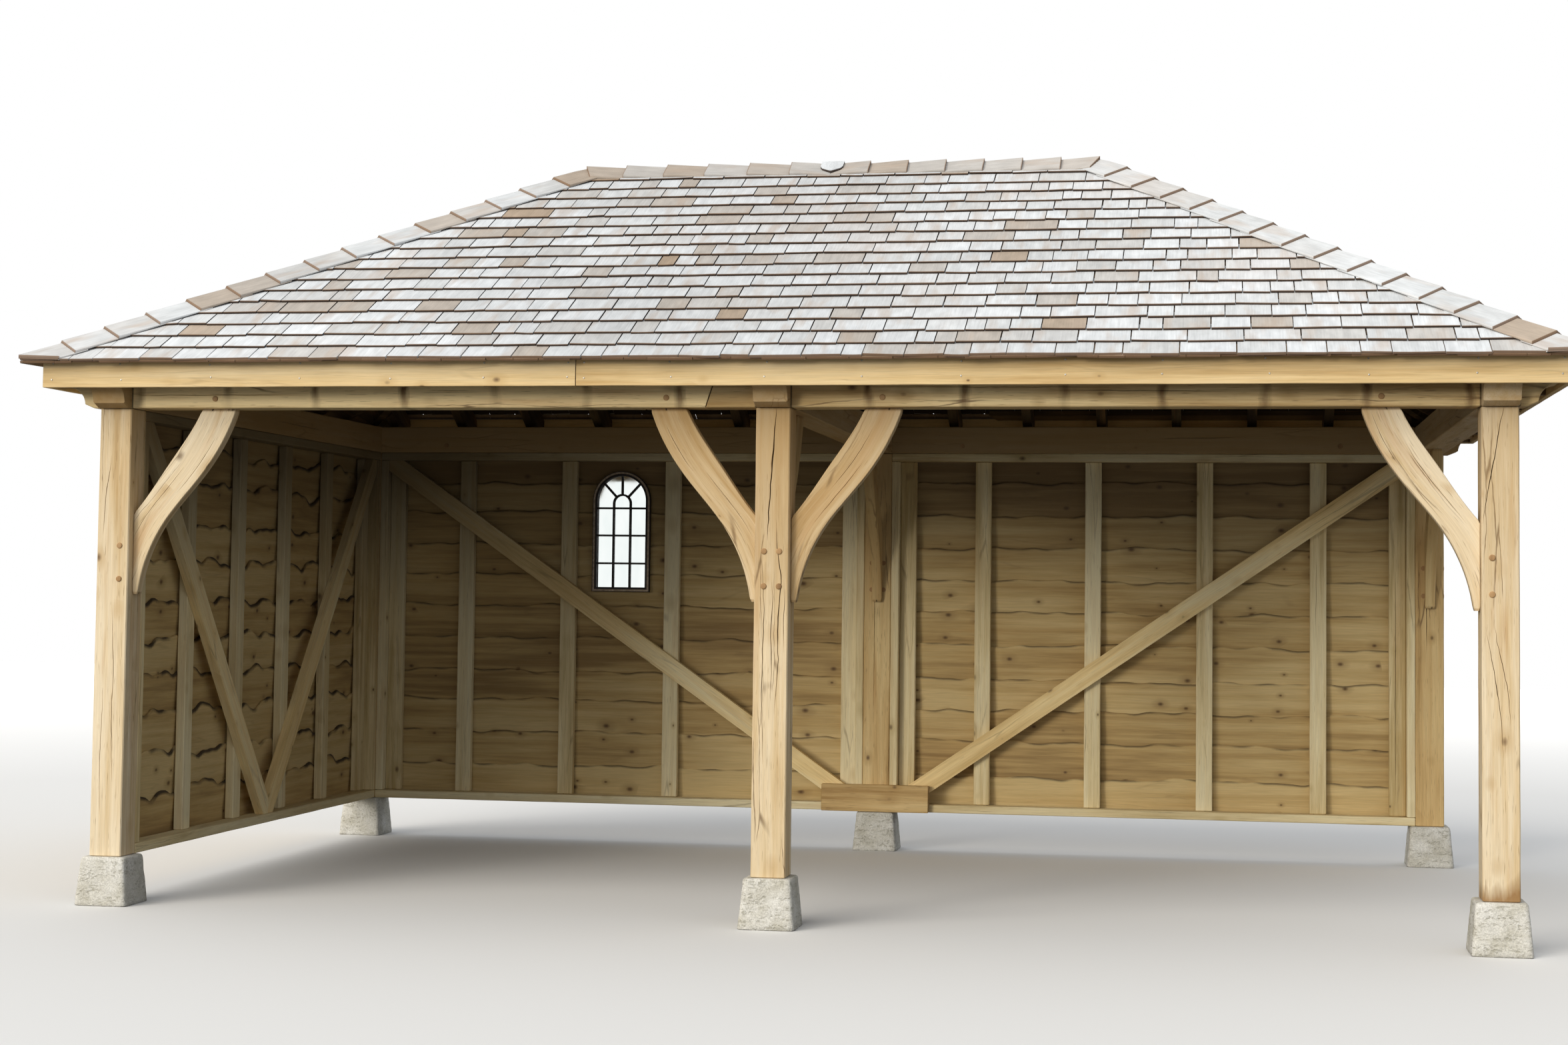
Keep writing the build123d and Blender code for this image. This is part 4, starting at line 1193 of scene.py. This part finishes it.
def closing_leaf(joined, slope):
    """Add one leaf of the short cap where the two runs meet, drawn in to a blunt point."""
    w = np.array([0.0, 0.060, 0.082, 0.110])
    half = np.array([0.0560, 0.0560, 0.0460, 0.0040])
    x = RIDGE_MIDDLE + half[:, None] * np.array([-1.0, 1.0, 1.0, -1.0])
    h = CAP_RISE - 0.0003 - np.array([0.0, 0.0, 0.0115, 0.0115]) - CAP_TILT * w[:, None] / w[-1]
    s = (slope.length - w)[:, None] * np.ones((1, 4))
    ring = slope.points(x * slope.along[0], s, h, True)
    grain = np.stack([0.05 + 0 * x, x, s], axis=-1)
    # Its lower points are painted dark as painted shade
    joined.add(ring[None], grain[None], 0.05, np.array([0.0, 0.0, 1.0, 1.0]))


# Waney boards
def waney_boards(name, wall, wander, settings):
    """Return the mesh of one wall's boards, each lapped over the outside of the one below.

    A board's section is a thin lozenge whose foot leans out over the board below; it is carried
    along the wall while its lower and upper edges wander in height by sums of sines. Boards that
    wander much have wider laps and edges, with more bark on them.
    """
    rng = seeded(name)
    joined = Joined()
    half, origin, along, out = (np.array(v, float) for v in WALLS[wall])
    wild = wander > 0.005
    usual_lap, wane, bark_most = (0.052, 0.024, 1.0) if wild else (0.028, 0.016, 0.6)
    outer, inner, thick, ease = CLADDING_DEPTH - 0.0015, 0.0012, 0.015, 0.004
    shift = rng.uniform(0, 40, 2)
    count = int(round((PLATE_FOOT - PAD_HEIGHT) / settings.exposure))
    step = (PLATE_FOOT - PAD_HEIGHT) / count
    x = np.linspace(-half + 0.001, half - 0.001, 130)
    edges = [PAD_HEIGHT + i * step + rng.normal(0, 0.008) + waves(x, rng, (2.6, 0.9, 0.37, 0.16), wander)
             for i in range(1, count)]
    edges = [np.full_like(x, PAD_HEIGHT), *edges, np.full_like(x, PLATE_FOOT)]
    for i in range(count):
        foot = edges[i] + (0.0005 if i == 0 else 0.0)
        bow = waves(x, rng, (3.1, 1.3), 0.0010)
        jag = waves(x, rng, (1.7, 0.83, 0.43, 0.27), wander * 3.6) + waves(x, rng, (0.19, 0.11), wander * 0.6)
        lap = usual_lap + np.clip(jag, 0.008 - usual_lap, 0.060) if i < count - 1 else -0.0005
        top = edges[i + 1] + lap
        inner_foot, outer_foot = outer - 0.019 + bow, outer + np.minimum(bow, 0)
        inner_head, outer_head = inner + np.maximum(bow, 0), inner + thick + bow
        bevel = inner_head + (inner_foot - inner_head) * wane / (top - foot)
        d, z = (np.stack(values, axis=1) for values in zip(
            (inner_foot, foot + ease), (inner_foot + ease, foot), (outer_foot - ease, foot),
            (outer_foot, foot + ease), (outer_head, top - ease), (outer_head - ease, top),
            (inner_head + ease, top), (inner_head, top - ease), (bevel, top - wane)))
        level = np.broadcast_to(x[:, None], d.shape)
        points = origin + level[..., None] * along + (RIM_DEPTH + d)[..., None] * out + z[..., None] * UP
        grain = np.stack([level + shift[0] + 7 * i, z + shift[1] + 3.1 * i, d], axis=-1)
        bark = np.clip(0.75 + waves(x, rng, (1.3, 0.47, 0.19), 1.0), 0, 1) * bark_most
        # A board's foot is darkened as painted shade of the lap, and its top edge with bark
        crack = np.zeros_like(d)
        crack[:, 1:3] = 0.35
        crack[:, 5:8] = bark[:, None]
        # A board's tone is partly random and partly painted shade: the higher the board, the darker
        tone = 0.6 * rng.random() + 0.4 * (1 - i / (count - 1))
        joined.add(points[None], grain[None], tone, crack[None])
    return joined.mesh(name)


# Stage
def make_floor(scene):
    """Set a pale floor that fades into the white background far off, where the camera sees it."""
    mesh = bpy.data.meshes.new("floor")
    mesh.from_pydata([(-30, -30, 0), (30, -30, 0), (30, 30, 0), (-30, 30, 0)], [], [(0, 1, 2, 3)])
    floor = bpy.data.objects.new("floor", mesh)
    scene.collection.objects.link(floor)
    material, node = new_material("pale_floor")
    seen = node("rays")["Is Camera Ray"]
    far = node("length", node("place"))
    glow = node("multiply", node("reach", far, 8.0, 25.0, 0.0, 0.40), seen)
    node("surface", node("glowing", node("blend", seen, "#63625f", "#ecebe9"), 0.9, glow))
    material.cycles.emission_sampling = "NONE"
    mesh.materials.append(material)


def make_light(scene):
    """Set a sky that is white where it is seen and softer as a light, a key sun and a low one."""
    world = bpy.data.worlds.new("sky")
    scene.world = world
    world.use_nodes = True
    world.node_tree.nodes.clear()
    node = partial(put, world.node_tree)
    rays = node("rays")
    seen = node("maximum", rays["Is Glossy Ray"], rays["Is Transmission Ray"])
    seen = node("maximum", rays["Is Camera Ray"], seen)
    node("sky", node("either", seen, node("background", "#eff4fa", 0.70), node("background", "#ffffff", 1.0)))
    for name, energy, spread, height in (("key", 2.15, 52, 30), ("low_sky", 0.85, 14, 9)):
        lamp = bpy.data.lights.new(name, "SUN")
        lamp.energy = energy
        lamp.angle = math.radians(spread)
        lamp.color = linear("#fff8ec")[:3]
        light = bpy.data.objects.new(name, lamp)
        light.rotation_euler = (math.radians(90 - height), 0, math.radians(-30))
        scene.collection.objects.link(light)


def make_camera(scene):
    """Set the photograph's camera: its place, its turns and its off-centre frame."""
    width, height = FRAME_SIZE
    ahead = np.array([math.sin(YAW) * math.cos(TILT), math.cos(YAW) * math.cos(TILT), math.sin(TILT)])
    level = np.array([math.cos(YAW), -math.sin(YAW), 0])
    over = np.cross(level, ahead)
    data = bpy.data.cameras.new("camera")
    data.sensor_width = 36.0
    data.lens = FOCAL_PIXELS / width * data.sensor_width
    data.shift_x = (width / 2 - CENTRE_PIXEL[0]) / width
    data.shift_y = (CENTRE_PIXEL[1] - height / 2) / width
    data.clip_end = 200
    camera = bpy.data.objects.new("camera", data)
    turned = np.eye(4)
    turned[:3, 0] = math.cos(ROLL) * level + math.sin(ROLL) * over
    turned[:3, 1] = math.cos(ROLL) * over - math.sin(ROLL) * level
    turned[:3, 2] = -ahead
    turned[:3, 3] = CAMERA_PLACE
    camera.matrix_world = Matrix(turned.tolist())
    scene.collection.objects.link(camera)
    scene.camera = camera


# Settings
class GazeboRoof(bpy.types.PropertyGroup):
    """Sizes of the roof covering."""

    gauge: bpy.props.FloatProperty(
        name="Shingle gauge", description="Height of each course that shows", default=0.127, unit="LENGTH")
    narrowest: bpy.props.FloatProperty(
        name="Narrowest", description="Width of the narrowest shingle", default=0.080, unit="LENGTH")
    widest: bpy.props.FloatProperty(
        name="Widest", description="Width of the widest shingle", default=0.235, unit="LENGTH")
    butt: bpy.props.FloatProperty(
        name="Butt", description="Thickness of a shingle's lower end", default=0.0105, unit="LENGTH")
    cap_gauge: bpy.props.FloatProperty(
        name="Hip cap gauge", description="Length of each hip cap that shows", default=0.2055, unit="LENGTH")
    ridge_gauge: bpy.props.FloatProperty(
        name="Ridge cap gauge", description="Length of each ridge cap that shows", default=0.200,
        unit="LENGTH")


class GazeboTimber(bpy.types.PropertyGroup):
    """Sizes and colours of the timber."""

    exposure: bpy.props.FloatProperty(
        name="Board exposure", description="Height of each board that shows", default=0.190, unit="LENGTH")
    light: bpy.props.FloatVectorProperty(
        name="Light oak", description="Palest tone of the oak frame", size=4, subtype="COLOR",
        default=linear("#e4d3b4"))
    middle: bpy.props.FloatVectorProperty(
        name="Oak", description="Middle tone of the oak frame", size=4, subtype="COLOR",
        default=linear("#d5bd94"))
    dark: bpy.props.FloatVectorProperty(
        name="Dark oak", description="Darkest figure of the oak frame", size=4, subtype="COLOR",
        default=linear("#b99866"))


# Operators
class GAZEBO_OT_stage(bpy.types.Operator):
    """Make the floor, the light and the camera"""

    bl_idname = "gazebo.stage"
    bl_label = "Stage"

    def execute(self, context):
        make_floor(context.scene)
        make_light(context.scene)
        make_camera(context.scene)
        context.scene.view_settings.view_transform = "Standard"
        return {"FINISHED"}


class GAZEBO_OT_posts(bpy.types.Operator):
    """Make the six posts"""

    bl_idname = "gazebo.posts"
    bl_label = "Posts"

    def execute(self, context):
        for row, y, skin in (("front", -AXIS_Y, "sawn_green_oak"), ("back", AXIS_Y, "honey_oak")):
            for column, x in (("left", -AXIS_X), ("middle", 0.0), ("right", AXIS_X)):
                node = f"post_{row}_{column}"
                wood = finish("oak_with_wet_foot" if node == "post_front_right" else skin)
                place_piece(f"{node}_oak", post_piece(node, x, y), wood, [node])
        return {"FINISHED"}


class GAZEBO_OT_plates(bpy.types.Operator):
    """Make the plates and the tie beam"""

    bl_idname = "gazebo.plates"
    bl_label = "Plates and tie beam"

    def execute(self, context):
        end_x, end_y = HALF_X + NOSE, HALF_Y + NOSE
        crossed_x, crossed_y = (-AXIS_X, 0.0, AXIS_X), (-AXIS_Y, AXIS_Y)
        plates = [
            ("front_plate_left", "x", -AXIS_Y, HALF_X, -end_x, SCARF, crossed_x, True, "far"),
            ("front_plate_right", "x", -AXIS_Y, HALF_X, SCARF - SCARF_LENGTH, end_x, crossed_x, True, "near"),
            ("back_plate", "x", AXIS_Y, HALF_X, -end_x, end_x, crossed_x, True),
        ]
        for node, x in (("side_plate_left", -AXIS_X), ("tie_beam", 0.0), ("side_plate_right", AXIS_X)):
            plates.append((node, "y", x, HALF_Y, -end_y, end_y, crossed_y, False))
        for node, *sizes in plates:
            wood = finish("oak_with_rafter_marks" if node.startswith("front") else "sawn_green_oak")
            place_piece(f"{node}_oak", plate_piece(node, *sizes), wood, [node])
        return {"FINISHED"}


class GAZEBO_OT_braces(bpy.types.Operator):
    """Make the ogee braces"""

    bl_idname = "gazebo.braces"
    bl_label = "Ogee braces"

    def execute(self, context):
        ends = ((-INNER_X, 1, 1.0), (-POST / 2, -1, 0.45), (POST / 2, 1, 0.40), (INNER_X, -1, 0.97))
        sets = {"front_braces": [((x, -AXIS_Y, PLATE_FOOT), (out, 0, 0), (0, 1, 0), tone)
                                 for x, out, tone in ends]}
        for node, x, tone in (("tie_beam_braces", 0, 0.3), ("right_side_braces", AXIS_X, 0.5)):
            sets[node] = [((x, -out * INNER_Y, PLATE_FOOT), (0, out, 0), (1, 0, 0), tone) for out in (1, -1)]
        for node, places in sets.items():
            rng = seeded(node)
            joined = Joined()
            for place in places:
                brace(joined, rng, *place)
            wood = finish("sawn_green_oak" if node == "front_braces" else "honey_oak")
            place_piece(f"{node}_oak", joined.mesh(node), wood, [node])
        return {"FINISHED"}


class GAZEBO_OT_wall_frames(bpy.types.Operator):
    """Make the walls' rims and studs"""

    bl_idname = "gazebo.wall_frames"
    bl_label = "Wall frames"

    def execute(self, context):
        for wall in WALLS:
            place_piece(f"{wall}_wall_frame", wall_frame(wall), finish("panel_oak"),
                        [f"{wall}_panel_frame"])
        return {"FINISHED"}


class GAZEBO_OT_wall_braces(bpy.types.Operator):
    """Make the walls' flat diagonal braces"""

    bl_idname = "gazebo.wall_braces"
    bl_label = "Wall braces"

    def execute(self, context):
        bay, end = HALF_BAY - RIM, INNER_Y - RIM
        for node, *sizes in (("back_left_panel_brace", "back_left", -bay, bay),
                             ("back_right_panel_brace", "back_right", bay, -bay),
                             ("left_panel_brace_front", "left", -end, -0.0005),
                             ("left_panel_brace_back", "left", end, 0.0005)):
            mesh = panel_brace(node, *sizes)
            place_piece(f"{node}_oak", mesh, finish("fresh_sawn_and_lit_oak"), [node])
        return {"FINISHED"}


class GAZEBO_OT_foot_block(bpy.types.Operator):
    """Make the block at the foot of the back middle post"""

    bl_idname = "gazebo.foot_block"
    bl_label = "Foot block"

    def execute(self, context):
        box = ((-0.300, 0.300), (INNER_Y - 0.045, INNER_Y), (PAD_HEIGHT, PAD_HEIGHT + 0.150))
        block_piece("foot_block", [box], "x", "honey_oak", 0.003)
        return {"FINISHED"}


class GAZEBO_OT_fascias(bpy.types.Operator):
    """Make the fascias under the eaves"""

    bl_idname = "gazebo.fascias"
    bl_label = "Fascias"

    def execute(self, context):
        high = (FASCIA_LOW, FASCIA_TOP)
        left, right = (-FASCIA_X, FASCIA_JOINT - FASCIA_GAP), (FASCIA_JOINT + FASCIA_GAP, FASCIA_X)
        front, back = (-FASCIA_Y, -FASCIA_Y + FASCIA_DEPTH), (FASCIA_Y - FASCIA_DEPTH, FASCIA_Y)
        depth = (front[1], back[0])
        ends = ((-FASCIA_X, -FASCIA_X + FASCIA_DEPTH), (FASCIA_X - FASCIA_DEPTH, FASCIA_X))
        for node, boxes, axis, shadow in (
                ("fascia_front_left", [(left, front, high)], "x", (0.0, 0.5)),
                ("fascia_front_right", [(right, front, high)], "x", (0.5, 0.0)),
                ("fascia_back", [(left, back, high), (right, back, high)], "x", (0.0, 0.0)),
                ("fascia_ends", [(end, depth, high) for end in ends], "y", (0.0, 0.0))):
            block_piece(node, boxes, axis, "planed_oak_fascia", 0.0018, shadow)
        return {"FINISHED"}


class GAZEBO_OT_rafters(bpy.types.Operator):
    """Dress the rafters, the ridge board and the battens"""

    bl_idname = "gazebo.rafters"
    bl_label = "Rafters and battens"

    def execute(self, context):
        for skin, nodes in (("sawn_rafter_long", ("front_rafters", "back_rafters")),
                            ("sawn_rafter_end", ("end_rafters", "hip_rafters")),
                            ("sawn_batten", ("ridge_board", "roof_battens"))):
            for node in nodes:
                dress(node, finish(skin))
        return {"FINISHED"}


class GAZEBO_OT_stones(bpy.types.Operator):
    """Make the padstones"""

    bl_idname = "gazebo.stones"
    bl_label = "Padstones"

    def execute(self, context):
        place_piece("cast_padstones", padstones(), stone_material(), ["padstones"])
        return {"FINISHED"}


class GAZEBO_OT_boards(bpy.types.Operator):
    """Fix the waney boards to the walls"""

    bl_idname = "gazebo.boards"
    bl_label = "Waney boards"

    def execute(self, context):
        for wall, wander in (("back_left", 0.004), ("back_right", 0.004), ("left", 0.011)):
            name = f"{wall}_boards"
            mesh = waney_boards(name, wall, wander, context.scene.gazebo_timber)
            place_piece(name, mesh, finish("waney_oak_board"), [f"{wall}_cladding"])
        return {"FINISHED"}


class GAZEBO_OT_roof(bpy.types.Operator):
    """Lay the shingles and the capping"""

    bl_idname = "gazebo.roof"
    bl_label = "Roof covering"

    def execute(self, context):
        settings = context.scene.gazebo_roof
        cedar = shingle_material()
        for side in SIDES:
            place_piece(f"{side}_shingles", shingled_slope(side, settings), cedar,
                        [f"{side}_roof_slope"])
        place_piece("hip_capping", hip_capping(settings), cedar, ["hip_caps"])
        place_piece("ridge_capping", ridge_capping(settings), cedar, ["ridge_cap"])
        return {"FINISHED"}


class GAZEBO_OT_fixings(bpy.types.Operator):
    """Fit the oak pegs and the fascias' nails"""

    bl_idname = "gazebo.fixings"
    bl_label = "Pegs and nails"

    def execute(self, context):
        place_piece("oak_pegs", pegs(), finish("cleft_oak_peg"))
        place_piece("fascia_nails", nails(), nail_material())
        return {"FINISHED"}


class GAZEBO_OT_mirror(bpy.types.Operator):
    """Dress the arched mirror"""

    bl_idname = "gazebo.mirror"
    bl_label = "Mirror"

    def execute(self, context):
        dress("mirror_frame", metal_material())
        dress("mirror_glass", mirror_material())
        return {"FINISHED"}


class GAZEBO_PT_pieces(bpy.types.Panel):
    """The gazebo's operators"""

    bl_label = "Gazebo"
    bl_idname = "GAZEBO_PT_pieces"
    bl_space_type = "VIEW_3D"
    bl_region_type = "UI"
    bl_category = "Gazebo"

    def draw(self, context):
        for operator in OPERATORS:
            self.layout.operator(operator.bl_idname)


OPERATORS = (GAZEBO_OT_stage, GAZEBO_OT_posts, GAZEBO_OT_plates, GAZEBO_OT_braces, GAZEBO_OT_wall_frames,
             GAZEBO_OT_wall_braces, GAZEBO_OT_foot_block, GAZEBO_OT_fascias, GAZEBO_OT_rafters,
             GAZEBO_OT_stones, GAZEBO_OT_boards, GAZEBO_OT_roof, GAZEBO_OT_fixings, GAZEBO_OT_mirror)
CLASSES = (GazeboRoof, GazeboTimber, *OPERATORS, GAZEBO_PT_pieces)


def register():
    """Register the classes and hang the settings on the scene."""
    for one in CLASSES:
        bpy.utils.register_class(one)
    bpy.types.Scene.gazebo_roof = bpy.props.PointerProperty(type=GazeboRoof)
    bpy.types.Scene.gazebo_timber = bpy.props.PointerProperty(type=GazeboTimber)


def unregister():
    """Undo register."""
    del bpy.types.Scene.gazebo_timber
    del bpy.types.Scene.gazebo_roof
    for one in reversed(CLASSES):
        bpy.utils.unregister_class(one)


def main():
    """Make every piece."""
    register()
    bpy.ops.gazebo.stage()
    bpy.ops.gazebo.posts()
    bpy.ops.gazebo.plates()
    bpy.ops.gazebo.braces()
    bpy.ops.gazebo.wall_frames()
    bpy.ops.gazebo.wall_braces()
    bpy.ops.gazebo.foot_block()
    bpy.ops.gazebo.fascias()
    bpy.ops.gazebo.rafters()
    bpy.ops.gazebo.stones()
    bpy.ops.gazebo.boards()
    bpy.ops.gazebo.roof()
    bpy.ops.gazebo.fixings()
    bpy.ops.gazebo.mirror()


if __name__ == "__main__":
    main()
